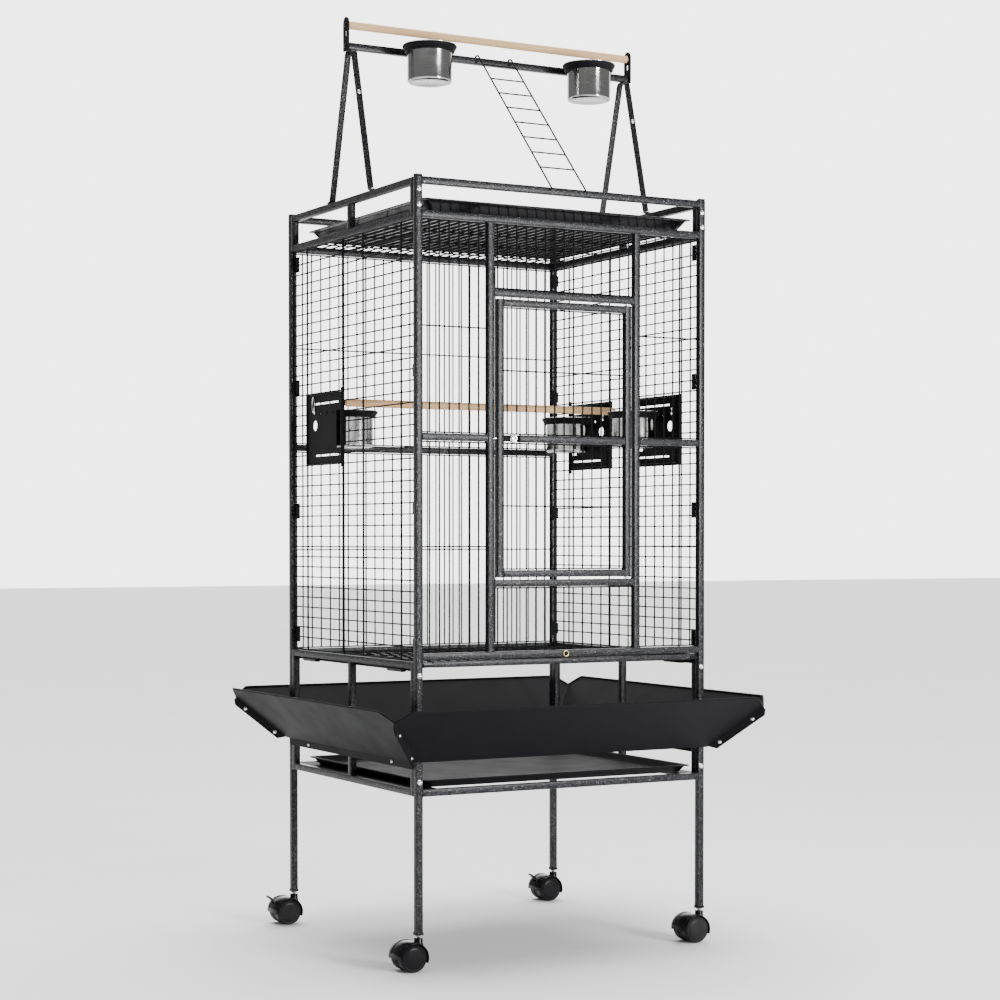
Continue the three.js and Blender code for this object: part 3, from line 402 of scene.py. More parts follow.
def begin_group(effect: Effect, numbers: dict[str, float]) -> tuple[bpy.types.NodeTree, bpy.types.Node, bpy.types.Node]:
    """Starts a node group with a Vector input, the given numbers, and the outputs Mask and Height.

    Args:
        effect: Which effect the group holds.
        numbers: Names and defaults of its number inputs.

    Returns:
        The group, its input node and its output node.
    """
    tree = bpy.data.node_groups.new(effect.value, "ShaderNodeTree")
    tree.interface.new_socket("Vector", in_out="INPUT", socket_type="NodeSocketVector")
    for name, default in numbers.items():
        socket = tree.interface.new_socket(name, in_out="INPUT", socket_type="NodeSocketFloat")
        socket.default_value = default
    for name in ("Mask", "Height"):
        tree.interface.new_socket(name, in_out="OUTPUT", socket_type="NodeSocketFloat")
    return tree, tree.nodes.new("NodeGroupInput"), tree.nodes.new("NodeGroupOutput")


def veins_group() -> bpy.types.NodeTree:
    """Silver flecks of a hammered coat: fine noise over ridged noise, which also stand a little proud.

    Returns:
        The group.
    """
    tree, given, out = begin_group(Effect.VEINS, {"Scale": 300.0, "Low": 0.5, "High": 0.7})
    noise = {"Vector": given.outputs["Vector"], "Scale": given.outputs["Scale"], "Detail": 3.0, "Distortion": 0.6}
    vein = new_node(tree, "ShaderNodeTexNoise", noise).outputs[0]
    ridge = math_node(tree, "ABSOLUTE", math_node(tree, "SUBTRACT", vein, 0.5), 0.0)
    ridge = math_node(tree, "SUBTRACT", 1.0, math_node(tree, "MULTIPLY", ridge, 3.2))
    fine_scale = math_node(tree, "MULTIPLY", given.outputs["Scale"], 1.9)
    fleck_in = {"Vector": given.outputs["Vector"], "Scale": fine_scale, "Detail": 2.0}
    fleck = new_node(tree, "ShaderNodeTexNoise", fleck_in).outputs[0]
    both = math_node(tree, "ADD", math_node(tree, "MULTIPLY", ridge, 0.3), math_node(tree, "MULTIPLY", fleck, 0.7))
    mask = remap(tree, both, given.outputs["Low"], given.outputs["High"])
    tree.links.new(mask, out.inputs["Mask"])
    tree.links.new(math_node(tree, "ADD", mask, math_node(tree, "MULTIPLY", fleck, 0.6)), out.inputs["Height"])
    return tree


def peel_group() -> bpy.types.NodeTree:
    """The slight orange peel of a baked coat or moulded plastic: soft cells with a finer grain over them.

    Returns:
        The group.
    """
    tree, given, out = begin_group(Effect.PEEL, {"Scale": 400.0})
    cells_in = {"Vector": given.outputs["Vector"], "Scale": given.outputs["Scale"], "Smoothness": 1.0}
    cells = tree.nodes.new("ShaderNodeTexVoronoi")
    cells.feature = "SMOOTH_F1"
    for name, value in cells_in.items():
        if isinstance(value, bpy.types.NodeSocket):
            tree.links.new(value, cells.inputs[name])
        else:
            cells.inputs[name].default_value = value
    grain_in = {"Vector": given.outputs["Vector"], "Scale": math_node(tree, "MULTIPLY", given.outputs["Scale"], 3.0)}
    grain = new_node(tree, "ShaderNodeTexNoise", grain_in).outputs[0]
    tree.links.new(grain, out.inputs["Mask"])
    height = math_node(tree, "ADD", cells.outputs[0], math_node(tree, "MULTIPLY", grain, 0.3))
    tree.links.new(height, out.inputs["Height"])
    return tree


def patches_group() -> bpy.types.NodeTree:
    """Large soft patches, as of handling and dust: slow noise, with its contrast set by Low and High.

    Returns:
        The group.
    """
    tree, given, out = begin_group(Effect.PATCHES, {"Scale": 14.0, "Low": 0.35, "High": 0.7})
    noise = {"Vector": given.outputs["Vector"], "Scale": given.outputs["Scale"], "Detail": 6.0, "Roughness": 0.6}
    patch = new_node(tree, "ShaderNodeTexNoise", noise).outputs[0]
    mask = remap(tree, patch, given.outputs["Low"], given.outputs["High"])
    tree.links.new(mask, out.inputs["Mask"])
    tree.links.new(patch, out.inputs["Height"])
    return tree


def brushed_group() -> bpy.types.NodeTree:
    """Fine drawn lines: noise squeezed along one direction, which the stretch of the given vector chooses.

    Returns:
        The group.
    """
    tree, given, out = begin_group(Effect.BRUSHED, {"Scale": 30.0})
    coarse = {"Vector": given.outputs["Vector"], "Scale": given.outputs["Scale"], "Detail": 4.0, "Roughness": 0.7}
    lines = new_node(tree, "ShaderNodeTexNoise", coarse).outputs[0]
    fine_scale = math_node(tree, "MULTIPLY", given.outputs["Scale"], 3.7)
    fine = new_node(tree, "ShaderNodeTexNoise", {"Vector": given.outputs["Vector"], "Scale": fine_scale}).outputs[0]
    both = math_node(tree, "MULTIPLY", math_node(tree, "ADD", lines, fine), 0.5)
    tree.links.new(remap(tree, both, 0.35, 0.65), out.inputs["Mask"])
    tree.links.new(both, out.inputs["Height"])
    return tree


GROUP_MAKERS = {
    Effect.VEINS: veins_group,
    Effect.PEEL: peel_group,
    Effect.PATCHES: patches_group,
    Effect.BRUSHED: brushed_group,
}


class Workshop:
    """A material under construction, with Object coordinates and a Principled shader."""

    groups: dict[Effect, bpy.types.NodeTree] = {}

    def __init__(self, name: str) -> None:
        """Starts the material.

        Args:
            name: Its name.
        """
        self.material = bpy.data.materials.new(name)
        self.material.use_nodes = True
        self.tree = self.material.node_tree
        self.shader = self.tree.nodes["Principled BSDF"]
        self.place = self.tree.nodes.new("ShaderNodeTexCoord").outputs["Object"]

    def stretched(self, scale: Sequence[float]) -> bpy.types.NodeSocket:
        """Object coordinates multiplied by a scale along each axis.

        Args:
            scale: Factor along x, y and z.

        Returns:
            The stretched coordinates.
        """
        return new_node(self.tree, "ShaderNodeMapping", {"Vector": self.place, "Scale": scale}).outputs[0]

    def effect(self, effect: Effect, **values: object) -> bpy.types.Node:
        """Places one of the shared effects.

        Args:
            effect: Which one.
            **values: Its inputs.

        Returns:
            The group's node.
        """
        if effect not in Workshop.groups:
            Workshop.groups[effect] = GROUP_MAKERS[effect]()
        node = self.tree.nodes.new("ShaderNodeGroup")
        node.node_tree = Workshop.groups[effect]
        for name, value in {"Vector": self.place, **values}.items():
            if isinstance(value, bpy.types.NodeSocket):
                self.tree.links.new(value, node.inputs[name])
            else:
                node.inputs[name].default_value = value
        return node

    def mix(self, mask: bpy.types.NodeSocket, first: object, second: object) -> bpy.types.NodeSocket:
        """Mixes two colours, each given as three numbers or as an output.

        Args:
            mask: How much of the second.
            first: Colour at 0.
            second: Colour at 1.

        Returns:
            The mixed colour.
        """
        node = self.tree.nodes.new("ShaderNodeMix")
        node.data_type = "RGBA"
        self.tree.links.new(mask, node.inputs[0])
        for slot, value in ((6, first), (7, second)):
            if isinstance(value, bpy.types.NodeSocket):
                self.tree.links.new(value, node.inputs[slot])
            else:
                node.inputs[slot].default_value = (*value, 1.0)
        return node.outputs[2]

    def between(self, mask: bpy.types.NodeSocket, low: float, high: float) -> bpy.types.NodeSocket:
        """A number that goes from low to high as the mask goes from 0 to 1.

        Args:
            mask: The mask.
            low: Number at 0.
            high: Number at 1.

        Returns:
            The number.
        """
        return new_node(self.tree, "ShaderNodeMapRange", {"Value": mask, "To Min": low, "To Max": high}).outputs[0]

    def finish(
        self, links: dict[str, bpy.types.NodeSocket], numbers: dict[str, float], bump: float
    ) -> bpy.types.Material:
        """Connects the shader.

        Args:
            links: Shader input to output. Height goes through a Bump node.
            numbers: Shader input to number.
            bump: Depth of the bump in millimetres.

        Returns:
            The material.
        """
        for name, value in numbers.items():
            self.shader.inputs[name].default_value = value
        for name, value in links.items():
            if name != "Height":
                self.tree.links.new(value, self.shader.inputs[name])
        if "Height" in links:
            wanted = {"Height": links["Height"], "Strength": 1.0, "Distance": bump * MM}
            node = new_node(self.tree, "ShaderNodeBump", wanted)
            self.tree.links.new(node.outputs[0], self.shader.inputs["Normal"])
        return self.material


@dataclass(frozen=True)
class VeinedCoat:
    """Black powder coat with silver veins, as on the tube frame."""

    name: str = "hammered_coat"
    slot: str = "hammered_coat"
    black: tuple[float, float, float] = (0.004, 0.004, 0.005)
    silver: tuple[float, float, float] = (0.22, 0.225, 0.24)
    scale: float = 420.0
    low: float = 0.65
    high: float = 0.76
    depth: float = 0.10

    def material(self) -> bpy.types.Material:
        """Builds the material.

        Returns:
            The material.
        """
        shop = Workshop(self.name)
        veins = shop.effect(Effect.VEINS, Scale=self.scale, Low=self.low, High=self.high)
        dust = shop.effect(Effect.PATCHES, Scale=9.0)
        colour = shop.mix(veins.outputs["Mask"], self.black, self.silver)
        links = {
            "Base Color": colour,
            "Roughness": shop.between(dust.outputs["Mask"], 0.28, 0.36),
            "Metallic": shop.between(veins.outputs["Mask"], 0.0, 1.0),
            "Height": veins.outputs["Height"],
        }
        return shop.finish(links, {"Specular IOR Level": 0.15}, self.depth)


@dataclass(frozen=True)
class SmoothCoat:
    """Black baked coat with a slight orange peel, as on the sheet parts and the wires."""

    name: str
    slot: str
    black: tuple[float, float, float] = (0.003, 0.003, 0.004)
    worn: tuple[float, float, float] = (0.005, 0.005, 0.006)
    rough_low: float = 0.56
    rough_high: float = 0.66
    scale: float = 420.0
    depth: float = 0.05
    specular: float = 0.1

    def material(self) -> bpy.types.Material:
        """Builds the material.

        Returns:
            The material.
        """
        shop = Workshop(self.name)
        peel = shop.effect(Effect.PEEL, Scale=self.scale)
        dust = shop.effect(Effect.PATCHES, Scale=11.0, Low=0.4, High=0.72)
        links = {
            "Base Color": shop.mix(dust.outputs["Mask"], self.black, self.worn),
            "Roughness": shop.between(dust.outputs["Mask"], self.rough_low, self.rough_high),
            "Height": peel.outputs["Height"],
        }
        return shop.finish(links, {"Specular IOR Level": self.specular}, self.depth)


@dataclass(frozen=True)
class BrightMetal:
    """Bare or plated metal with drawn lines along its surface."""

    name: str
    slot: str
    light: tuple[float, float, float] = (0.52, 0.52, 0.51)
    dark: tuple[float, float, float] = (0.34, 0.34, 0.34)
    rough_low: float = 0.08
    rough_high: float = 0.2
    stretch: tuple[float, float, float] = (1.0, 1.0, 60.0)
    depth: float = 0.012

    def material(self) -> bpy.types.Material:
        """Builds the material.

        Returns:
            The material.
        """
        shop = Workshop(self.name)
        lines = shop.effect(Effect.BRUSHED, Vector=shop.stretched(self.stretch), Scale=26.0)
        smears = shop.effect(Effect.PATCHES, Scale=30.0, Low=0.4, High=0.75)
        links = {
            "Base Color": shop.mix(lines.outputs["Mask"], self.dark, self.light),
            "Roughness": shop.between(smears.outputs["Mask"], self.rough_low, self.rough_high),
            "Height": lines.outputs["Height"],
        }
        return shop.finish(links, {"Metallic": 1.0}, self.depth)


@dataclass(frozen=True)
class PaleWood:
    """Turned pale hardwood with its grain along X."""

    name: str
    slot: str
    light: tuple[float, float, float] = (0.74, 0.49, 0.27)
    dark: tuple[float, float, float] = (0.55, 0.33, 0.15)
    fleck: tuple[float, float, float] = (0.40, 0.25, 0.12)

    def material(self) -> bpy.types.Material:
        """Builds the material.

        Returns:
            The material.
        """
        shop = Workshop(self.name)
        grain = shop.effect(Effect.BRUSHED, Vector=shop.stretched((2.2, 60.0, 60.0)), Scale=6.0)
        pores = shop.effect(Effect.PATCHES, Vector=shop.stretched((30.0, 420.0, 420.0)), Scale=1.0, Low=0.62, High=0.74)
        tone = shop.effect(Effect.PATCHES, Vector=shop.stretched((1.0, 5.0, 5.0)), Scale=9.0, Low=0.3, High=0.75)
        body = shop.mix(grain.outputs["Mask"], self.light, self.dark)
        toned = shop.mix(math_node(shop.tree, "MULTIPLY", tone.outputs["Mask"], 0.35), body, self.dark)
        colour = shop.mix(math_node(shop.tree, "MULTIPLY", pores.outputs["Mask"], 0.55), toned, self.fleck)
        links = {
            "Base Color": colour,
            "Roughness": shop.between(grain.outputs["Mask"], 0.5, 0.66),
            "Height": grain.outputs["Height"],
        }
        return shop.finish(links, {"Specular IOR Level": 0.35}, 0.06)


@dataclass(frozen=True)
class StudioPaper:
    """The plain pale floor."""

    name: str = "studio_paper"
    shade: tuple[float, float, float] = (0.86, 0.86, 0.86)
    shade_far: tuple[float, float, float] = (0.88, 0.88, 0.88)

    def material(self) -> bpy.types.Material:
        """Builds the material.

        Returns:
            The material.
        """
        shop = Workshop(self.name)
        tone = shop.effect(Effect.PATCHES, Scale=2.0)
        colour = shop.mix(tone.outputs["Mask"], self.shade, self.shade_far)
        return shop.finish({"Base Color": colour}, {"Roughness": 0.9}, 0.0)


Finish = VeinedCoat | SmoothCoat | BrightMetal | PaleWood


@dataclass(frozen=True)
class Finishes:
    """Every finish of the cage, by what it covers."""

    tube: VeinedCoat = VeinedCoat()
    wire: SmoothCoat = SmoothCoat("wire_coat", "wire_coat", scale=700.0, depth=0.03, specular=0.1)
    sheet: SmoothCoat = SmoothCoat("sheet_coat", "sheet_coat")
    tray: SmoothCoat = SmoothCoat("tray_coat", "sheet_coat", rough_low=0.16, rough_high=0.24, depth=0.02, specular=0.3)
    stainless: BrightMetal = BrightMetal("cup_steel", "cup_steel")
    zinc: BrightMetal = BrightMetal("bright_zinc", "latch_steel", (0.86, 0.87, 0.88), (0.7, 0.71, 0.73), 0.2, 0.36)
    stem: BrightMetal = BrightMetal("stem_steel", "latch_steel", (0.30, 0.30, 0.31), (0.2, 0.2, 0.21), 0.25, 0.4)
    brass: BrightMetal = BrightMetal("dull_brass", "ring_brass", (0.72, 0.56, 0.26), (0.5, 0.37, 0.15), 0.25, 0.45)
    beech: PaleWood = PaleWood("pale_beech", "perch_wood")
    hood: SmoothCoat = SmoothCoat(
        "hood_plastic", "hood_plastic", (0.006, 0.006, 0.007), (0.012, 0.012, 0.013), 0.16, 0.3, 240.0, 0.02
    )
    wheel: SmoothCoat = SmoothCoat(
        "wheel_plastic", "wheel_plastic", (0.008, 0.008, 0.009), (0.03, 0.03, 0.031), 0.3, 0.5, 300.0, 0.04
    )


FINISHES = Finishes()


# ---------- the parts of the cage ----------


class Assembly:
    """A group of pieces that dress and place themselves."""

    made: dict[str, bpy.types.Material] = {}

    @staticmethod
    def coat(finish: Finish) -> bpy.types.Material:
        """The finish's material, built the first time it is asked for.

        Args:
            finish: The finish.

        Returns:
            Its material.
        """
        if finish.name not in Assembly.made:
            Assembly.made[finish.name] = finish.material()
        return Assembly.made[finish.name]

    def place(
        self, name: str, surface: Surface, finish: Finish, body: str, nodes: Iterable[str] = (), sharp: float = 40.0
    ) -> bpy.types.Object:
        """Makes a piece, dresses it and fixes it to a body.

        Args:
            name: Name of the piece.
            surface: Its surface.
            finish: Its finish.
            body: The CAD body it moves with.
            nodes: CAD nodes that it stands for.
            sharp: Edges sharper than this many degrees stay crisp.

        Returns:
            The piece.
        """
        piece = surface.mesh(name, sharp)
        piece.data.materials.append(self.coat(finish))
        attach(piece, body)
        if nodes:
            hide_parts(*nodes)
        LOG.info("%s: %d faces on %s", name, len(piece.data.polygons), body)
        return piece

    def dress(self, node: str, finish: Finish) -> None:
        """Gives a CAD node that stays in view its finish.

        Args:
            node: The node.
            finish: Its finish.
        """
        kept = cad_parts[node]
        kept.data.materials.clear()
        kept.data.materials.append(self.coat(finish))
        LOG.info("%s: dressed", node)


def screw_heads(places: Array, facing: Array, radius: float = 3.6, height: float = 2.2) -> Array:
    """Domed screw heads: a washer, then a quarter ellipse of the given radius and height.

    Args:
        places: Where each head sits (M, 3).
        facing: Which way each head faces, (M, 3) or (1, 3).
        radius: Radius of the dome.
        height: Height of the dome.

    Returns:
        Rings (M, R, 14, 3).
    """
    angle = np.linspace(0.0, TURN / 4 * 0.92, 5)
    dome = np.stack([radius * np.cos(angle), 0.7 + height * np.sin(angle)], axis=1)
    washer = np.array([[radius * 1.25, -0.3], [radius * 1.25, 0.5], [radius * 1.12, 0.7]])
    return turned(np.vstack([washer, dome]), places, facing, 14)


@dataclass
class TubeFrame(Assembly):
    """Posts, rails, side frames and stiles: square tube with welds, caps and stems."""

    tube: float = 12.7
    leg_end: float = 63.0
    cap: float = 4.0
    top_rail: float = 1388.3
    roof_rail: float = 1329.8
    header: float = 1198.8
    sill: float = 677.5
    middle: float = 938.15
    front_floor: float = 548.3
    floor: float = 533.0
    stand: float = 307.5
    stile_in: float = 148.0
    ledge: float = 34.0
    skin: float = 0.12
    weld: float = 1.5

    def rail(self, x: float, y0: float, y1: float, z: float) -> list[float]:
        """A rail across the width between two posts or stiles.

        Args:
            x: Half its length.
            y0: Front face.
            y1: Back face.
            z: Its lower face.

        Returns:
            Its box.
        """
        return [-x, x, y0 + self.skin, y1 - self.skin, z, z + self.tube]

    def panel(self, side: int, rails: Sequence[float]) -> tuple[Surface, Array]:
        """The posts and the full-width rails of the front or the back.

        Args:
            side: -1 for the front, 1 for the back.
            rails: The rails' lower faces.

        Returns:
            The surface, and the ends of every weld (N, 2, 3).
        """
        low, high = node_box("front_panel_frame" if side < 0 else "back_panel_frame")
        outer, inner = high[0], high[0] - self.tube
        y0, y1 = low[1], high[1]
        tubes = [[s * inner, s * outer, y0, y1, self.leg_end, high[2] - self.cap] for s in (-1, 1)]
        tubes += [self.rail(inner, y0, y1, z) for z in rails]
        welds = [
            [[s * (inner + 0.2), y0 + 1.5, z + dz], [s * (inner + 0.2), y1 - 1.5, z + dz]]
            for s in (-1, 1)
            for z in rails
            for dz in (-0.4, self.tube + 0.4)
        ]
        return Surface().add(bars(tubes)), np.array(welds)

    def build_front(self) -> None:
        """The front panel, with its stiles, header, sill and bay rails."""
        surface, welds = self.panel(-1, [self.top_rail, self.roof_rail, self.front_floor, self.stand])
        low, high = node_box("front_panel_frame")
        y0, y1, inner = low[1], high[1], high[0] - self.tube
        stile_out = self.stile_in + self.tube
        floor_top = self.front_floor + self.tube
        pieces = [self.rail(self.stile_in, y0, y1, z) for z in (self.header, self.sill)]
        for s in (-1, 1):
            pieces.append([s * self.stile_in, s * stile_out, y0 + self.skin, y1 - self.skin, floor_top, self.roof_rail])
            depth = [y0 + 2 * self.skin, y1 - self.skin]
            pieces.append([s * stile_out, s * inner, *depth, self.middle, self.middle + self.tube])
        surface.add(bars(pieces))
        extra = []
        for s in (-1, 1):
            for x, heights in ((self.stile_in - 0.2, (self.header, self.sill)), (stile_out + 0.2, (self.middle,))):
                for z in heights:
                    for dz in (-0.4, self.tube + 0.4):
                        extra.append([[s * x, y0 + 1.5, z + dz], [s * x, y1 - 1.5, z + dz]])
            for z in (floor_top + 0.3, self.roof_rail - 0.3):
                for x in (self.stile_in, stile_out):
                    extra.append([[s * x, y0 + 1.5, z], [s * x, y1 - 1.5, z]])
        welds = np.concatenate([welds, np.array(extra)])
        surface.add(rods(welds[:, 0], welds[:, 1], self.weld, 8))
        self.place("front_tubes", surface, FINISHES.tube, "cage", ["front_panel_frame"])

    def build_back(self) -> None:
        """The back panel."""
        surface, welds = self.panel(1, [self.top_rail, self.roof_rail, self.middle, self.floor, self.stand])
        surface.add(rods(welds[:, 0], welds[:, 1], self.weld, 8))
        self.place("back_tubes", surface, FINISHES.tube, "cage", ["back_panel_frame"])

    def build_side(self, name: str, side: int, level: str, z_low: float, z_high: float) -> None:
        """A side frame between the posts: two rails, two end uprights and a middle strut.

        Args:
            name: left or right.
            side: -1 for the left, 1 for the right.
            level: top or bottom.
            z_low: Lower rail's lower face.
            z_high: Upper rail's lower face.
        """
        node = f"{name}_{level}_frame"
        low, high = node_box(node)
        outer = max(abs(low[0]), abs(high[0]))
        x0, x1 = side * (outer - self.tube), side * outer
        end, t = high[1], self.tube
        inset = side * self.skin
        pieces = [
            [x0, x1, -end + t, end - t, z_low, z_low + t],
            [x0, x1, -end + t, end - t, z_high, z_high + t],
            [x0 + inset, x1 - inset, -end, -end + t, z_low, z_high + t],
            [x0 + inset, x1 - inset, end - t, end, z_low, z_high + t],
            [x0 + inset, x1 - inset, -t / 2, t / 2, z_low + t, z_high],
        ]
        surface = Surface().add(bars(pieces))
        seams = [
            [[x0 + side, y, z], [x1 - side, y, z]]
            for y in (-t / 2, t / 2)
            for z in (z_low + t, z_high)
        ]
        seams += [
            [[x0 + side, y, z], [x1 - side, y, z]]
            for y in (-end + t, end - t)
            for z in (z_low + t, z_high)
        ]
        welds = np.array(seams)
        surface.add(rods(welds[:, 0], welds[:, 1], self.weld * 0.8, 8))
        self.place(f"{node}_tubes", surface, FINISHES.tube, "cage", [node])
        if level == "bottom":
            self.build_ledges(name, side, abs(x0), end)

    def build_ledges(self, name: str, side: int, face: float, end: float) -> None:
        """The folded ledges that carry the base tray and the grate.

        Args:
            name: left or right.
            side: -1 for the left, 1 for the right.
            face: Where the side frame's inner face is.
            end: Half the ledges' length.
        """
        thick = 1.6
        shelves = []
        for reach, top in ((self.ledge, self.stand + self.tube), (12.0, self.floor + 3.4)):
            inner = side * (face - reach)
            shelves.append([inner, side * face, -end + 1, end - 1, top - thick, top])
            shelves.append([side * (face - thick), side * face, -end + 1, end - 1, top - 9.0, top])
        self.place(f"{name}_ledges", Surface().add(bars(shelves, 0.5, 1)), FINISHES.sheet, "cage")

    def build_ends(self) -> None:
        """Plastic caps on the posts, ferrules under the legs, and the castors' stems."""
        low, high = node_box("front_panel_frame")
        x, y = high[0] - self.tube / 2, (low[1] + high[1]) / 2
        corners = np.array([[sx * x, sy * y] for sx in (-1, 1) for sy in (-1, 1)])
        half = self.tube / 2
        top = high[2]
        caps, collars = [], []
        for cx, cy in corners:
            caps.append([cx - half, cx + half, cy - half, cy + half, top - self.cap - 0.2, top])
            wide = half + 1.2
            collars.append([cx - wide, cx + wide, cy - wide, cy + wide, self.leg_end - 1, self.leg_end + 4])
        surface = Surface().add(bars(caps, 1.8, 3)).add(bars(collars, 1.8, 3))
        self.place("post_caps", surface, FINISHES.hood, "cage")
        spot = np.column_stack([corners, np.full(4, low[2])])
        stem = np.array([[2.4, 0.0], [3.0, 0.8], [3.0, 12.5], [5.2, 12.8], [5.2, 15.2], [4.6, 15.6]])
        self.place("castor_stems", Surface().add(turned(stem, spot, [[0, 0, 1]], 18)), FINISHES.stem, "cage")

    def build(self) -> None:
        """Builds the whole frame."""
        self.build_front()
        self.build_back()
        for name, side in (("left", -1), ("right", 1)):
            self.build_side(name, side, "top", self.roof_rail, self.top_rail)
            self.build_side(name, side, "bottom", self.stand, self.floor)
        self.build_ends()


@dataclass
class WirePanels(Assembly):
    """Welded wire: level wires on the sides, front-to-back wires on the roof, upright wires on the front, back and door."""

    pitch: float = 19.8
    level_first: float = 571.3
    level_pitch: float = 19.75
    levels: int = 38
    wire: float = 1.4
    edge: float = 1.6
    stay: float = 1.75
    sides: int = 6
    left_stays: tuple[float, ...] = (-213.0, -54.0, 36.0, 200.0)
    right_stays: tuple[float, ...] = (-203.0, -43.0, 53.0, 213.0)
    roof_rows: tuple[float, ...] = (-202.0, -67.0, 67.0, 202.0)
    feeder_names: tuple[str, ...] = ("left", "right_rear", "right_front")

    @staticmethod
    def split(wires: Array, hole: Sequence[float]) -> Array:
        """Cuts the stretch of each wire that crosses a hole.

        Args:
            wires: Rows of place, start and end (N, 3).
            hole: The hole's first and last place, and first and last point along the wires.

        Returns:
            The wires that are left.
        """
        p0, p1, a0, a1 = hole
        hit = (wires[:, 0] > p0) & (wires[:, 0] < p1) & (wires[:, 1] < a0) & (wires[:, 2] > a1)
        before, after = wires[hit].copy(), wires[hit].copy()
        before[:, 2], after[:, 1] = a0, a1
        return np.vstack([wires[~hit], before, after])

    def lattice(
        self, u: tuple[float, float], v: tuple[float, float], us: Array, vs: Array, holes: list
    ) -> tuple[Array, Array]:
        """Wires of a flat panel, with holes cut out.

        Args:
            u: The panel's extent along its first direction.
            v: Its extent along its second direction.
            us: Places along u of the wires that run along v.
            vs: Places along v of the wires that run along u.
            holes: Each u0, u1, v0, v1.

        Returns:
            Rows of place, start and end for the wires along v, and for those along u.
        """
        along_v = np.column_stack([us, np.full(len(us), v[0]), np.full(len(us), v[1])])
        along_u = np.column_stack([vs, np.full(len(vs), u[0]), np.full(len(vs), u[1])])
        for u0, u1, v0, v1 in holes:
            along_v = self.split(along_v, (u0, u1, v0, v1))
            along_u = self.split(along_u, (v0, v1, u0, u1))
        return along_v, along_u

    def feeder_hole(self, name: str) -> list[float]:
        """The opening that a feeder's cup swings through, with its margins inside the feeder's plate.

        Args:
            name: The feeder.

        Returns:
            Its y and z limits.
        """
        low, high = node_box(f"{name}_feeder_door")
        near, far, rise = 12.5, 9.0, 5.0
        if name == "left":
            return [low[1] + near, high[1] - far, low[2] + rise, high[2] - rise]
        return [low[1] + far, high[1] - near, low[2] + rise, high[2] - rise]

    def build_side(self, name: str, side: int) -> None:
        """A side's mesh: level wires inside, a few upright stays outside, a border, hooks, and feeder openings.

        Args:
            name: left or right.
            side: -1 for the left, 1 for the right.
        """
        node = f"{name}_mesh_panel"
        low, high = node_box(node)
        middle = side * 298.65
        outer, inner = middle + side * self.wire, middle - side * self.wire
        y = (low[1] + 1.5, high[1] - 1.5)
        z = (low[2] + 1.5, high[2] - 1.5)
        us = np.array(self.left_stays if side < 0 else self.right_stays)
        vs = self.level_first + np.arange(self.levels) * self.level_pitch
        holes = [self.feeder_hole(n) for n in self.feeder_names if n.startswith(name)]
        up, across = self.lattice(y, z, us, vs, holes)
        surface = Surface()
        starts, ends = self.lay(outer, up[:, 0], up[:, 1]), self.lay(outer, up[:, 0], up[:, 2])
        surface.add(rods(starts, ends, self.stay, 10))
        starts, ends = self.lay(inner, across[:, 1], across[:, 0]), self.lay(inner, across[:, 2], across[:, 0])
        surface.add(rods(starts, ends, self.wire, self.sides))
        frames = [[y[0], y[1], z[0], z[1]], *holes]
        for y0, y1, z0, z1 in frames:
            loop = np.array([[middle, y0, z0], [middle, y1, z0], [middle, y1, z1], [middle, y0, z1]])
            surface.add(rods(loop, np.roll(loop, -1, axis=0), self.edge, 8))
        self.place(f"{name}_wire_mesh", surface, FINISHES.wire, "cage", [node])
        self.build_hooks(name, side, low, high)

    @staticmethod
    def lay(x: float, y: Array, z: Array) -> Array:
        """Points of a side panel: x for all, with the given y and z."""
        return np.column_stack([np.full(len(y), x), y, z])

    def build_hooks(self, name: str, side: int, low: Array, high: Array) -> None:
        """The folded hooks that hang a side's mesh on the posts, and each feeder's hinge lugs.

        Args:
            name: left or right.
            side: -1 for the left, 1 for the right.
            low: The panel's lowest corner.
            high: The panel's highest corner.
        """
        deep, tall, wide, pitch, drop = 7.0, 30.0, 13.0, 243.0, 25.0
        x = side * 298.65
        hooks = []
        for i in range(4):
            z = high[2] + 0.3 - drop - i * pitch
            for y in (low[1], high[1] - wide):
                hooks.append([x - side * deep, x - side * (deep - 1.8), y, y + wide, z - tall / 2, z + tall / 2])
                edge = y + (wide - 1.8 if y < 0 else 0.0)
                hooks.append([x - side * deep, x + side * 1.2, edge, edge + 1.8, z - tall / 2 + 4, z + tall / 2 - 4])
        surface = Surface().add(bars(hooks, 0.8, 2))
        for feeder in self.feeder_names:
            if feeder.startswith(name):
                box_low, box_high = node_box(f"{feeder}_feeder_door")
                px, py = side * 303.15, box_low[1] + 2.5 if side < 0 else box_high[1] - 2.5
                stay = np.array([[side * 299.5, py, low[2] + 2], [side * 299.5, py, high[2] - 2]])
                surface.add(rods(stay[:1], stay[1:], 1.5, 8))
                for z0, z1 in ((box_low[2] - 7.3, box_low[2] - 0.3), (box_high[2] + 0.3, box_high[2] + 7.3)):
                    surface.add(rods([[px, py, z0]], [[px, py, z1]], 2.6, 14))
                    surface.add(bars([[side * 298.5, px, py - 1, py + 1, z0 + 1, z1 - 1]], 0.5, 1))
        self.place(f"{name}_mesh_hooks", surface, FINISHES.sheet, "cage")

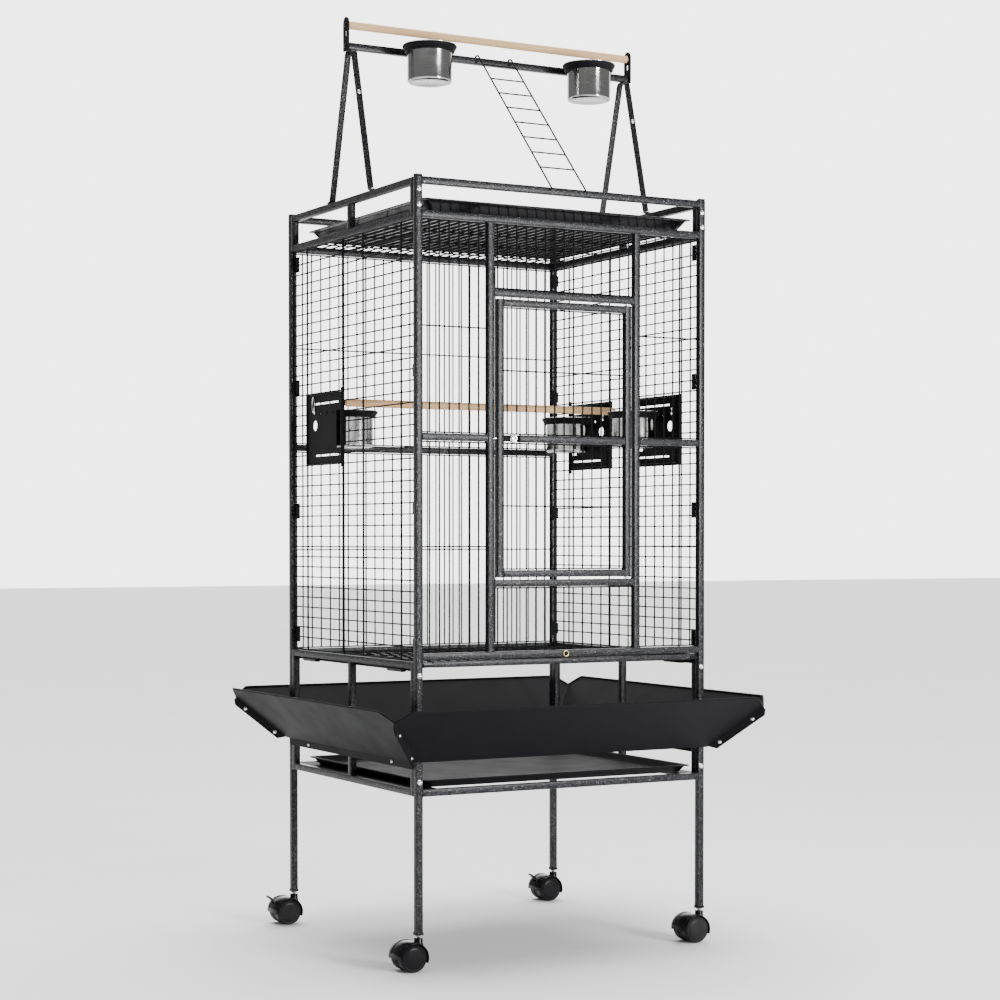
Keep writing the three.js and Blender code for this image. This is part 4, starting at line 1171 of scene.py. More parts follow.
    def build_roof(self) -> None:
        """The roof's front-to-back wires, on a few cross wires."""
        low, high = node_box("roof_grille")
        z = (low[2] + high[2]) / 2
        x, y = high[0] - 1.5, high[1] - 1.5
        xs = np.arange(-int(x // self.pitch), int(x // self.pitch) + 1) * self.pitch
        ys = np.array(self.roof_rows)
        surface = Surface()
        first = np.column_stack([xs, np.full(len(xs), -y), np.full(len(xs), z + 0.2)])
        surface.add(rods(first, first * [1, -1, 1], self.wire, self.sides))
        second = np.column_stack([np.full(len(ys), -x), ys, np.full(len(ys), z - self.wire * 1.6)])
        surface.add(rods(second, second * [-1, 1, 1], self.wire, self.sides))
        loop = np.array([[-x, -y, z], [x, -y, z], [x, y, z], [-x, y, z]])
        surface.add(rods(loop, np.roll(loop, -1, axis=0), self.edge * 0.85, 8))
        self.place("roof_wires", surface, FINISHES.wire, "cage", ["roof_grille"])

    def build_upright(self, node: str, body: str, mid_row: bool) -> None:
        """A grille of upright wires with its border wires, and a middle wire behind them.

        Args:
            node: The CAD node that it stands for.
            body: The body that it moves with.
            mid_row: Whether it has a middle wire.
        """
        low, high = node_box(node)
        y = (low[1] + high[1]) / 2
        count = round((high[0] - low[0] - 3.0) / self.pitch)
        xs = (low[0] + high[0]) / 2 + (np.arange(count) - (count - 1) / 2) * self.pitch
        z0, z1 = low[2] + 0.8, high[2] - 0.8
        starts = np.column_stack([xs, np.full(len(xs), y), np.full(len(xs), z0)])
        ends = starts.copy()
        ends[:, 2] = z1
        surface = Surface().add(rods(starts, ends, self.wire, self.sides))
        behind = y + self.wire * 1.8
        rows = [z0 + 1.0, z1 - 1.0] + ([(z0 + z1) / 2 + 0.5] if mid_row else [])
        left = np.array([[low[0], behind, z] for z in rows])
        right = np.array([[high[0], behind, z] for z in rows])
        surface.add(rods(left, right, self.wire, self.sides))
        sides = np.array([[low[0] + 1.2, y, z0], [high[0] - 1.2, y, z0]])
        surface.add(rods(sides, sides + [0, 0, z1 - z0], self.wire, self.sides))
        self.place(node.replace("grille", "wires"), surface, FINISHES.wire, body, [node])

    def build(self) -> None:
        """Builds every wire panel."""
        for name, side in (("left", -1), ("right", 1)):
            self.build_side(name, side)
            for level in ("upper", "lower"):
                self.build_upright(f"front_{name}_{level}_grille", "cage", True)
        self.build_roof()
        for node in ("back_upper_grille", "back_lower_grille"):
            self.build_upright(node, "cage", True)
        for node in ("front_top_grille", "front_bottom_grille"):
            self.build_upright(node, "cage", False)
        for node in ("door_upper_grille", "door_lower_grille"):
            self.build_upright(node, "door", True)


@dataclass
class Door(Assembly):
    """The door's frame, its pivot pins and its sliding latch."""

    tube: float = 12.7
    pin: float = 2.5
    knob_x: float = -111.0
    middle_end: float = -95.5

    def build(self) -> None:
        """Builds the door."""
        low, high = node_box("door_frame")
        grille_low, _ = node_box("door_lower_grille")
        _, grille_high = node_box("door_upper_grille")
        x, y0, y1, t = high[0], low[1], high[1], self.tube
        z0, z1 = grille_low[2] - 0.3 - t, grille_high[2] + 0.3 + t
        mid = (z0 + z1) / 2
        skin = 0.1
        tubes = [
            [-x, -x + t, y0, y1, z0, z1],
            [x - t, x, y0, y1, z0, z1],
            [-x + t, x - t, y0 + skin, y1 - skin, z0, z0 + t],
            [-x + t, x - t, y0 + skin, y1 - skin, z1 - t, z1],
            [self.middle_end, x - t, y0 + skin, y1 - skin, mid - t / 2, mid + t / 2],
        ]
        surface = Surface().add(bars(tubes))
        seams = [[[s * (x - t), y0 + 1.5, z], [s * (x - t), y1 - 1.5, z]] for s in (-1, 1) for z in (z0 + t, z1 - t)]
        seams += [[[x - t, y0 + 1.5, mid + dz], [x - t, y1 - 1.5, mid + dz]] for dz in (-t / 2, t / 2)]
        welds = np.array(seams)
        surface.add(rods(welds[:, 0], welds[:, 1], 1.4, 8))
        self.place("door_tubes", surface, FINISHES.tube, "door", ["door_frame"])
        axis = (x - t / 2, (y0 + y1) / 2)
        pins = Surface()
        for start, end in ((z1 - 1, high[2]), (z0 + 1, low[2])):
            pins.add(rods([[*axis, start]], [[*axis, end]], self.pin, 16))
        washers = np.array([[*axis, z1 + 0.6], [*axis, z0 - 1.8]])
        ring = np.array([[2.6, 0.0], [5.2, 0.0], [5.2, 1.2], [2.6, 1.2]])
        pins.add(turned(ring, washers, [[0, 0, 1]], 20))
        self.place("door_pins", pins, FINISHES.zinc, "door")
        self.build_latch(x, (y0 + y1) / 2, mid)

    def build_latch(self, x: float, y: float, z: float) -> None:
        """The latch's housing on the stile, and its bolt with a round knob.

        Args:
            x: Half the door's width.
            y: The door's middle plane.
            z: The latch's height.
        """
        edge = -x + self.tube
        front = y - self.tube / 2
        shell = [
            [edge, edge + 9.0, y - 4.5, y + 4.5, z - 5.2, z + 5.2],
            [edge - 0.5, edge + 11.5, front - 0.6, front + 1.2, z - 5.6, z + 5.6],
            [self.middle_end - 1.5, self.middle_end + 0.3, y - 5.0, y + 5.0, z - 5.4, z + 5.4],
        ]
        self.place("latch_housing", Surface().add(bars(shell, 1.0, 2)), FINISHES.sheet, "door")
        low, _ = node_box("door_latch")
        bolt = Surface().add(rods([[low[0] + 0.4, y, z]], [[self.knob_x + 1, y, z]], 2.5, 16))
        bolt.add(turned(np.array([[1.6, 0.0], [2.5, 0.7]]), [[low[0], y, z]], [[1, 0, 0]], 16))
        profile = np.array([
            [2.4, 0.0], [2.4, 2.2], [7.0, 2.6], [7.5, 3.3], [7.5, 8.8], [7.2, 9.8], [6.4, 10.4], [5.0, 10.2],
            [4.4, 10.6], [2.5, 11.0], [0.4, 11.1],
        ])
        bolt.add(turned(profile, [[self.knob_x, y - 0.6, z]], [[0, -1, 0]], 32))
        self.place("latch_bolt", bolt, FINISHES.zinc, "latch", ["door_latch"])


@dataclass
class SeedSkirt(Assembly):
    """The four sloped panels, with rolled rims and the bolts of their corner seams."""

    fold_z: float = 370.0
    rise: float = 98.0
    fold_x: float = 308.0
    fold_y: float = 285.5
    chamfer: float = 45.0
    seam_end: float = 0.8
    roll: float = 2.2
    roll_share: float = 0.978

    def rim(self, half_in: float, dist_in: float, half_out: float, dist_out: float, turn: int) -> Array:
        """A rolled rim along a panel's chamfers and top edge.

        Args:
            half_in: Half the panel's length at the fold.
            dist_in: Distance of the fold from the middle.
            half_out: Half its length at the rim.
            dist_out: Distance of the rim from the middle.
            turn: Quarter turns about Z from the front.

        Returns:
            Rings (1, R, P, 3).
        """
        seam_half = half_in + (half_out - half_in) * self.seam_end - 1.2
        rim_half = half_out - self.chamfer
        (y_low, z_low), (y_top, z_top) = (
            (-(dist_in + (dist_out - dist_in) * share), self.fold_z + self.rise * share)
            for share in (self.seam_end, self.roll_share)
        )
        corners = [
            [-seam_half, y_low, z_low], [-rim_half, y_top, z_top], [rim_half, y_top, z_top], [seam_half, y_low, z_low],
        ]
        slope = np.array([0.0, -(dist_out - dist_in), self.rise])
        binormal = np.cross([1.0, 0.0, 0.0], slope)
        path = filleted(corners, 8.0, 4)
        angle = turn * TURN / 4
        spin = np.array([[math.cos(angle), -math.sin(angle), 0], [math.sin(angle), math.cos(angle), 0], [0, 0, 1]])
        return carried(path @ spin.T, round_profile(self.roll, 10), spin @ binormal)

    def seam_bolts(self) -> tuple[Array, Array]:
        """Bolts through each corner's flanges, two to a corner.

        Returns:
            Places and directions of the heads.
        """
        low_f, _ = node_box("skirt_front")
        _, high_r = node_box("skirt_right")
        fold_x, fold_y = self.fold_x, self.fold_y
        places, facing = [], []
        for sx in (-1, 1):
            for sy in (-1, 1):
                radial = np.array([sx * (high_r[0] - fold_x), sy * (-low_f[1] - fold_y), self.rise])
                flat = unit(np.array([radial[0], radial[1], 0.0]))
                down = unit(np.cross(radial, np.cross([0, 0, 1.0], radial)) * -1.0)
                across = unit(np.cross(flat, [0, 0, 1.0]))
                base = np.array([sx * fold_x, sy * fold_y, self.fold_z])
                for share in (0.62, 0.16):
                    for way in (-1, 1):
                        places.append(base + radial * share + down * 7.5 + across * way * 1.6)
                        facing.append(across * way)
        return np.array(places), np.array(facing)

    def build(self) -> None:
        """Dresses the panels and adds their rims and bolts."""
        low_f, _ = node_box("skirt_front")
        _, high_r = node_box("skirt_right")
        x_out, y_out = high_r[0], -low_f[1]
        sizes = {
            "front": (self.fold_x, self.fold_y, x_out, y_out, 0),
            "right": (self.fold_y, self.fold_x, y_out, x_out, 1),
            "back": (self.fold_x, self.fold_y, x_out, y_out, 2),
            "left": (self.fold_y, self.fold_x, y_out, x_out, 3),
        }
        for side, values in sizes.items():
            self.dress(f"skirt_{side}", FINISHES.sheet)
            self.place(f"skirt_{side}_rim", Surface().add(self.rim(*values)), FINISHES.sheet, "cage", sharp=60.0)
        places, facing = self.seam_bolts()
        self.place("skirt_bolts", Surface().add(screw_heads(places, facing, 2.7, 1.6)), FINISHES.zinc, "cage")


@dataclass
class Trays(Assembly):
    """The base tray, the play-top tray, the floor grate and its lock ring."""

    corner: float = 12.0
    points: int = 8

    def shell(self, node: str, foot: float) -> Array:
        """A pressed tray: soft rectangles that step in from the rim and down to the floor, outside then inside.

        Args:
            node: The CAD node that it stands for.
            foot: How far the floor is inside the rim.

        Returns:
            Rings (1, R, P, 3).
        """
        low, high = node_box(node)
        z0, z1 = low[2], high[2]
        steps = np.array([
            [foot + 4, z0], [foot + 0.5, z0 + 0.4], [foot - 1.2, z0 + 1.8], [7.5, z1 - 4.0], [6.3, z1 - 2.8], [4.8, z1 - 2.3],
            [1.2, z1 - 2.3], [0.3, z1 - 1.9], [0.0, z1 - 1.1], [0.3, z1 - 0.3], [1.2, z1], [5.4, z1], [7.2, z1 - 0.5],
            [8.6, z1 - 2.2], [foot + 0.2, z0 + 3.0], [foot + 1.8, z0 + 1.6], [foot + 5, z0 + 1.2],
        ])
        half = (high - low) / 2
        middle = (high + low) / 2
        rings = []
        for inset, z in steps:
            outline = soft_rectangle(half[0] - inset, half[1] - inset, self.corner, self.points)
            rings.append(np.column_stack([outline + middle[:2], np.full(len(outline), z)]))
        return np.array(rings)[None]

    def build_grate(self) -> None:
        """The grate: a border, wires both ways, a flat front bar and its end blocks."""
        low, high = node_box("floor_grate")
        x = 288.0
        z = low[2] + 2.25
        y0, y1 = low[1] + 3.0, high[1] - 1.3
        xs = np.arange(-14, 15) * 20.0
        ys = np.arange(math.ceil((y0 + 4) / 60.0), math.floor(y1 / 60.0) + 1) * 60.0
        surface = Surface()
        first = np.column_stack([xs, np.full(len(xs), y0), np.full(len(xs), z)])
        last = first.copy()
        last[:, 1] = y1
        surface.add(rods(first, last, 1.2, 6))
        across = np.column_stack([np.full(len(ys), -x), ys, np.full(len(ys), z + 1.6)])
        surface.add(rods(across, across * [-1, 1, 1], 1.2, 6))
        border = np.array([[-x, y1, z], [x, y1, z], [x, y0, z], [-x, y0, z]])
        surface.add(rods(border[:-1], border[1:], 1.5, 8))
        surface.add(rods(border[-1:], border[:1], 1.5, 8))
        self.place("grate_wires", surface, FINISHES.wire, "grate", ["floor_grate"])
        bar = [[-272.0, 272.0, low[1], low[1] + 5.0, low[2], high[2]]]
        self.place("grate_front_bar", Surface().add(bars(bar, 1.0, 2)), FINISHES.tube, "grate")
        blocks = [[s * 271.0, s * 290.5, low[1] + 0.3, low[1] + 9.0, low[2] + 0.4, high[2] - 1.6] for s in (-1, 1)]
        self.place("grate_end_blocks", Surface().add(bars(blocks, 1.2, 2)), FINISHES.hood, "grate")

    def build_lock(self) -> None:
        """The pull ring on the front floor rail: a torus in front of a stepped boss."""
        low, high = node_box("grate_lock")
        x, z = (low[0] + high[0]) / 2, (low[2] + high[2]) / 2
        ring = arc_path([x, low[1] + 1.25, z], 5.0, 0.0, 360.0, 28, "xz")[:-1]
        surface = Surface().add(carried(ring, round_profile(1.25, 10), [0, -1, 0], closed=True), closed=True)
        self.place("lock_ring", surface, FINISHES.brass, "cage", ["grate_lock"])
        boss = np.array([[4.2, 0.0], [4.2, 0.6], [2.6, 0.9], [2.4, 1.8], [0.6, 2.1]])
        boss_surface = Surface().add(turned(boss, [[x, high[1], z]], [[0, -1, 0]], 24))
        self.place("lock_boss", boss_surface, FINISHES.sheet, "cage")

    def build(self) -> None:
        """Builds both trays, the grate and its lock."""
        base = Surface().add(self.shell("base_tray", 15.0))
        self.place("base_tray_pressing", base, FINISHES.sheet, "base_tray_slide", ["base_tray"], 55.0)
        play = Surface().add(self.shell("play_tray", 22.0))
        self.place("play_tray_pressing", play, FINISHES.tray, "play_tray_slide", ["play_tray"], 55.0)
        self.build_grate()
        self.build_lock()


@dataclass
class Cups(Assembly):
    """Stainless cups and the rings that carry the play-top ones."""

    radius: float = 42.0
    rim: float = 50.0
    wall: float = 1.0
    flare: float = 10.0

    def profile(self, height: float) -> Array:
        """A cup's outline: base, rounded heel, wall, flare and rolled lip, then the same inside.

        Args:
            height: The cup's height.

        Returns:
            Points of radius and height.
        """
        r, rim, w = self.radius, self.rim, self.wall
        neck = height - self.flare
        return np.array([
            [0.5, 0.9], [r * 0.62, 0.9], [r * 0.66, 0.2], [r * 0.72, 0.0], [r - 5.0, 0.0], [r - 3.0, 0.4], [r - 1.2, 1.5],
            [r - 0.2, 3.4], [r, 5.5], [r, neck - 2.0], [r + 0.3, neck - 0.6], [r + 1.2, neck + 0.8], [r + 3.6, neck + 3.4],
            [rim - 2.4, height - 3.0], [rim - 0.9, height - 2.4], [rim - 0.1, height - 1.5], [rim - 0.1, height - 0.7],
            [rim - 0.9, height - 0.1], [rim - 2.0, height - 0.1], [rim - 3.4, height - 1.4], [r + 2.2, neck + 3.4],
            [r + 0.1, neck + 1.0], [r - w, neck - 1.0], [r - w, 6.0], [r - w - 0.8, 3.6], [r - 3.6, 1.8], [r * 0.7, 1.3],
            [0.5, 1.6],
        ])

    def build_cup(self, name: str, body: str) -> None:
        """One cup.

        Args:
            name: The cup's CAD node.
            body: The body that it moves with.
        """
        low, high = node_box(name)
        centre = [(low[0] + high[0]) / 2, (low[1] + high[1]) / 2, low[2]]
        surface = Surface().add(turned(self.profile(high[2] - low[2]), [centre], [[0, 0, 1]], 72))
        self.place(f"{name}_bowl", surface, FINISHES.stainless, body, [name], 50.0)

    def build_collar(self, name: str, body: str) -> None:
        """The flared black collar that a cup's lip sits in: a turned strip just outside the flare.

        Args:
            name: The cup's CAD node.
            body: The body that it is fixed to.
        """
        low, high = node_box(name)
        centre = [(low[0] + high[0]) / 2, (low[1] + high[1]) / 2, high[2]]
        outline = np.array([
            [46.4, -11.6], [46.9, -11.0], [50.9, -4.6], [51.2, -3.4], [51.0, -2.2], [50.5, -2.2], [50.2, -3.6], [44.0, -11.0],
            [44.4, -11.6],
        ])
        rings = np.swapaxes(turned(outline, [centre], [[0, 0, 1]], 72), 1, 2)
        self.place(f"{name}_collar", Surface().add(rings[:, :, ::-1], closed=True), FINISHES.sheet, body, sharp=60.0)

    def build_holder(self, name: str) -> None:
        """A play-top cup's wire ring, on a strap that hooks over the crossbar.

        Args:
            name: left or right.
        """
        node = f"{name}_play_cup_ring"
        cup_low, cup_high = node_box(f"{name}_play_cup")
        low, _ = node_box(node)
        bar_low, bar_high = node_box("play_crossbar")
        x, y = (cup_low[0] + cup_high[0]) / 2, (cup_low[1] + cup_high[1]) / 2
        top = cup_high[2] - self.flare
        ring = arc_path([x, y, top - 2.0], 45.2, 0.0, 360.0, 60, "xy")[:-1]
        surface = Surface().add(carried(ring, soft_rectangle(2.0, 2.0, 1.2, 3), [0, 0, 1], closed=True), closed=True)
        face = bar_low[1] - 1.3
        hook = filleted([
            [x, face - 5.5, low[2] + 3.0], [x, face, low[2] + 3.0], [x, face, bar_high[2] + 1.3],
            [x, -face, bar_high[2] + 1.3], [x, -face, bar_low[2] + 3.0],
        ], 2.6, 4)
        surface.add(carried(hook, soft_rectangle(1.0, 12.0, 0.5, 1), [1, 0, 0]))
        self.place(f"{name}_cup_holder", surface, FINISHES.sheet, "cage", [node])
        place = np.array([[x, bar_low[1] - 2.0, (bar_low[2] + bar_high[2]) / 2]])
        screw = Surface().add(screw_heads(place, [[0, -1, 0]], 3.0, 1.6))
        self.place(f"{name}_holder_screw", screw, FINISHES.zinc, "cage")

    def build(self) -> None:
        """Builds the cups and the holders."""
        for name in ("left", "right"):
            self.build_cup(f"{name}_play_cup", f"{name}_play_cup_body")
            self.build_collar(f"{name}_play_cup", "cage")
            self.build_holder(name)
        for name in ("left", "right_rear", "right_front"):
            self.build_cup(f"{name}_feeder_cup", f"{name}_feeder_cup_body")
            self.build_collar(f"{name}_feeder_cup", f"{name}_feeder")


@dataclass
class Feeders(Assembly):
    """What is added to the feeder doors' plates: folds, hinge knuckles, and the hook that holds each shut."""

    names: tuple[str, ...] = ("left", "right_rear", "right_front")

    def build(self) -> None:
        """Dresses the plates and adds their details."""
        for name in self.names:
            side = -1 if name == "left" else 1
            node = f"{name}_feeder_door"
            self.dress(node, FINISHES.sheet)
            low, high = node_box(node)
            hinge = low[1] + 2.5 if side < 0 else high[1] - 2.5
            free = high[1] if side < 0 else low[1]
            way = -side
            face = side * (303.15 + 0.75)
            folds = [
                [face, face + side * 3.0, hinge + way * 4, free, high[2] - 1.4, high[2]],
                [face, face + side * 3.0, hinge + way * 4, free, low[2], low[2] + 1.4],
                [face, face + side * 3.0, free - way * 1.4, free, low[2], high[2]],
            ]
            self.place(f"{name}_feeder_folds", Surface().add(bars(folds, 0.5, 1)), FINISHES.sheet, f"{name}_feeder")
            y = free - way * 32.0
            loop = filleted([
                [face + side * 1.4, y, high[2] - 4], [face + side * 1.4, y - 5, high[2] - 12],
                [face + side * 1.4, y - 5, high[2] - 30], [face + side * 1.4, y, high[2] - 36],
                [face + side * 1.4, y + 5, high[2] - 30], [face + side * 1.4, y + 5, high[2] - 12],
                [face + side * 1.4, y + 0.5, high[2] - 4],
            ], 6.0, 5)
            hook = Surface().add(carried(loop, round_profile(1.1, 8), [1, 0, 0]))
            self.place(f"{name}_feeder_hook", hook, FINISHES.zinc, f"{name}_feeder", sharp=80.0)
            knuckles = Surface()
            for z0, z1 in ((low[2] + 1, low[2] + 26), (high[2] - 26, high[2] - 1)):
                knuckles.add(rods([[side * 303.15, hinge, z0]], [[side * 303.15, hinge, z1]], 2.9, 16))
            self.place(f"{name}_feeder_knuckles", knuckles, FINISHES.sheet, f"{name}_feeder")


@dataclass
class PlayTop(Assembly):
    """Strap stands, end brackets, crossbar, perches and ladder."""

    strap: float = 3.0
    foot: float = 96.0
    spread: float = 84.0
    crown: float = 12.0
    perch_radius: float = 7.5
    rod: float = 1.7
    rung: float = 1.5
    rungs: int = 8
    first_rung: float = 24.0
    rung_pitch: float = 45.2
    overhang: float = 7.0
    bolt_level: float = 1591.0

    def build_stand(self, name: str) -> None:
        """An A-shaped strap with rounded bends, and its screws.

        Args:
            name: left or right.
        """
        node = f"{name}_play_stand"
        low, high = node_box(node)
        x = (low[0] + high[0]) / 2
        z0, z1 = low[2] + self.strap / 2, high[2] - self.strap / 2
        path = filleted([
            [x, -self.foot, z0], [x, -self.spread - 1, z0], [x, -self.crown, z1], [x, self.crown, z1],
            [x, self.spread + 1, z0], [x, self.foot, z0],
        ], 6.5, 6)
        profile = soft_rectangle(self.strap / 2, (high[0] - low[0]) / 2, 0.9, 2)
        self.place(f"{node}_strap", Surface().add(carried(path, profile, [1, 0, 0])), FINISHES.tube, "cage", [node])
        foot_heads = np.array([[x, s * (self.foot - 4.5), low[2] + self.strap] for s in (-1, 1)])
        surface = Surface().add(screw_heads(foot_heads, [[0, 0, 1]], 3.0, 1.8))
        share = (self.bolt_level - z0) / (z1 - z0)
        y = self.spread + (self.crown - self.spread) * share
        for s in (-1, 1):
            surface.add(screw_heads([[x, s * (y + 1.4), self.bolt_level]], [[0, s, 0.26]], 3.4, 2.0))
        self.place(f"{name}_stand_screws", surface, FINISHES.zinc, "cage")

    def build_perch(self, node: str) -> None:
        """A turned perch: a rod with eased ends, thicker and thinner by a few tenths along its length.

        Args:
            node: The CAD node that it stands for.
        """
        low, high = node_box(node)
        length = high[0] - low[0]
        s = np.linspace(0.0, 1.0, 40)
        wobble = 0.12 * np.sin(s * 9.0) + 0.08 * np.sin(s * 23.0 + 1.0)
        radius = self.perch_radius - 0.2 + wobble
        body = np.column_stack([radius, 1.2 + s * (length - 2.4)])
        ends = np.array([[self.perch_radius - 1.3, 0.0]]), np.array([[self.perch_radius - 1.3, length]])
        centre = [[low[0], (low[1] + high[1]) / 2, (low[2] + high[2]) / 2]]
        profile = np.vstack([ends[0], body, ends[1]])
        dowel = Surface().add(turned(profile, centre, [[1, 0, 0]], 40))
        self.place(f"{node}_dowel", dowel, FINISHES.beech, "cage", [node])

    def build_crossbar(self) -> None:
        """The crossbar, and the pins that hold it and the perch to the brackets."""
        low, high = node_box("play_crossbar")
        box = [[low[0] + 1, high[0] - 1, low[1], high[1], low[2], high[2]]]
        self.place("play_crossbar_tube", Surface().add(bars(box)), FINISHES.tube, "cage", ["play_crossbar"])
        _, perch_high = node_box("top_perch")
        _, bracket_high = node_box("right_perch_bracket")
        surface = Surface()
        y, z = 0.0, perch_high[2] - self.perch_radius
        heads = np.array([[s * bracket_high[0], y, h] for s in (-1, 1) for h in (z, (low[2] + high[2]) / 2)])
        facing = np.array([[s, 0, 0] for s in (-1, 1) for _ in range(2)])
        surface.add(screw_heads(heads - facing * 0.6, facing, 4.2, 1.8))
        self.place("bracket_screws", surface, FINISHES.hood, "cage")
        for name in ("left", "right"):
            self.dress(f"{name}_perch_bracket", FINISHES.sheet)

    def build_ladder(self) -> None:
        """The ladder: each rod leaves its hook's circle on a tangent, and the rungs join the rods."""
        low, high = node_box("ladder")
        bar_low, bar_high = node_box("play_crossbar")
        front_low, _ = node_box("front_panel_frame")
        tube = bar_high[2] - bar_low[2]
        centre_z = (bar_low[2] + bar_high[2]) / 2
        hook = math.sqrt(0.5) * tube + 2.1
        edge_y, edge_z = front_low[1], 1401.0 - centre_z
        reach = math.hypot(edge_y, edge_z)
        lean = math.acos((hook - 1.8) / reach) - math.atan2(-edge_z, -edge_y)
        down = np.array([0.0, -math.sin(lean), -math.cos(lean)])
        out = np.array([0.0, -math.cos(lean), math.sin(lean)])
        middle = (low[0] + high[0]) / 2
        half = (high[0] - low[0]) / 2 - self.rod
        start = math.degrees(math.atan2(out[2], out[1]))
        surface = Surface()
        for side in (-1, 1):
            centre = np.array([middle + side * half, 0.0, centre_z])
            curve = arc_path(centre, hook, start - 150.0, start, 18, "yz")
            foot = centre + out * hook + down * (reach + self.overhang)
            path = np.vstack([curve, foot[None]])
            surface.add(carried(path, round_profile(self.rod, 10), [1, 0, 0]))
        s = self.first_rung + np.arange(self.rungs) * self.rung_pitch
        base = np.array([middle, 0.0, centre_z]) + out * hook + s[:, None] * down
        surface.add(rods(base - [half, 0, 0], base + [half, 0, 0], self.rung, 8))
        self.place("ladder_rods", surface, FINISHES.wire, "ladder_body", ["ladder"], 60.0)

    def build(self) -> None:
        """Builds the play top and the inner perch."""
        for name in ("left", "right"):
            self.build_stand(name)
        self.build_perch("top_perch")
        self.build_perch("inner_perch")
        self.build_crossbar()
        self.build_ladder()


@dataclass
class Castors(Assembly):
    """Twin-wheel castors with hoods, and brake levers on the rear pair."""

    wheel: float = 25.0
    trail: float = 19.0
    hood: float = 27.0
    half: float = 25.5

    def build_castor(self, name: str) -> None:
        """One castor.

        Args:
            name: The corner that it stands at.
        """
        wheels_low, wheels_high = node_box(f"{name}_castor_wheels")
        centre = (wheels_low + wheels_high) / 2
        self.build_wheels(name, centre)
        surface = Surface()
        shell = arc_path(centre, self.hood, -20.0, 185.0, 28, "xz")
        surface.add(carried(shell, soft_rectangle(1.0, self.half, 0.9, 2), [0, -1, 0]))
        web = np.array([[1.0, -3.9], [23.2, -3.9], [24.0, -3.0], [24.0, 3.0], [23.2, 3.9], [1.0, 3.9]])
        surface.add(turned(web, [centre], [[0, 1, 0]], 40))
        boss_base = [centre[0] + self.trail, centre[1], 44.0]
        boss = np.array([[9.5, -3.0], [9.0, 1.5], [8.0, 3.5], [7.8, 12.8], [7.0, 14.0], [3.6, 14.0], [3.5, 6.0]])
        surface.add(turned(boss, [boss_base], [[0, 0, 1]], 28))
        ribs = [arc_path(centre, self.hood + 0.9, 20.0, 170.0, 20, "xz") + [0.0, s * 17.0, 0.0] for s in (-1, 1)]
        for rib in ribs:
            surface.add(carried(rib, round_profile(0.9, 8), [0, -1, 0]))
        self.place(f"{name}_hood_shell", surface, FINISHES.hood, f"{name}_swivel_body", [f"{name}_castor_hood"], 50.0)

    def build_wheels(self, name: str, centre: Array) -> None:
        """Both wheels: a rounded tread, and a slightly domed cover with a groove near its edge.

        Args:
            name: The corner that they stand at.
            centre: The middle of their axle.
        """
        r = self.wheel
        face = np.array([
            [0.4, 25.0], [8.0, 24.9], [15.0, 24.5], [19.4, 24.0], [20.0, 23.5], [20.6, 23.6], [22.6, 23.8], [24.0, 23.0],
            [24.8, 21.6], [r, 19.5],
        ])
        inner = np.array([[r, 7.5], [24.6, 6.0], [23.4, 5.0], [4.0, 5.0], [3.4, 4.4]])
        surface = Surface()
        for way in (-1, 1):
            outline = np.vstack([face, inner])
            surface.add(turned(outline[::-1], [centre], [[0, way, 0]], 56))
        surface.add(rods([centre - [0, 5, 0]], [centre + [0, 5, 0]], 3.0, 16))
        self.place(f"{name}_twin_wheels", surface, FINISHES.wheel, f"{name}_wheel_body", [f"{name}_castor_wheels"], 35.0)

    def build_lever(self, name: str) -> None:
        """A brake lever: a strip that curls up from its barrel.

        Args:
            name: The corner that it stands at.
        """
        node = f"{name}_brake_lever"
        low, high = node_box(node)
        y = (low[1] + high[1]) / 2
        root = np.array([high[0] - 2.5, y, low[2] + 2.5])
        tip = np.array([low[0] + 0.8, y, high[2] - 1.2])
        bend = root + (tip - root) * 0.55 + np.array([0.0, 0.0, -1.2])
        path = filleted([root, bend, tip], 6.0, 6)
        surface = Surface().add(carried(path, soft_rectangle(1.4, 6.8, 1.2, 3), [0, 1, 0]))
        surface.add(rods([root - [0, 7, 0]], [root + [0, 7, 0]], 2.4, 18))
        tread = np.linspace(0.35, 0.9, 4)[:, None] * (tip - root) + root + [0.4, 0.0, 1.3]
        surface.add(rods(tread - [0, 5.4, 0], tread + [0, 5.4, 0], 0.7, 8))
        self.place(f"{name}_lever", surface, FINISHES.hood, f"{name}_lever_body", [node], 50.0)

    def build(self) -> None:
        """Builds the four castors and the two levers."""
        for name in ("front_left", "front_right", "rear_left", "rear_right"):
            self.build_castor(name)
        for name in ("rear_left", "rear_right"):
            self.build_lever(name)
            self.build_lugs(name)

    def build_lugs(self, name: str) -> None:
        """The two lugs that a lever turns between.

        Args:
            name: The corner that they stand at.
        """
        low, high = node_box(f"{name}_brake_lever")
        y = (low[1] + high[1]) / 2
        x, z = high[0] - 2.5, low[2] + 2.5
        lugs = [[x - 3, x + 5, y + s * 7.6, y + s * 9.9, z - 6, z + 2] for s in (-1, 1)]
        self.place(f"{name}_lugs", Surface().add(bars(lugs, 1.0, 3)), FINISHES.hood, f"{name}_swivel_body")


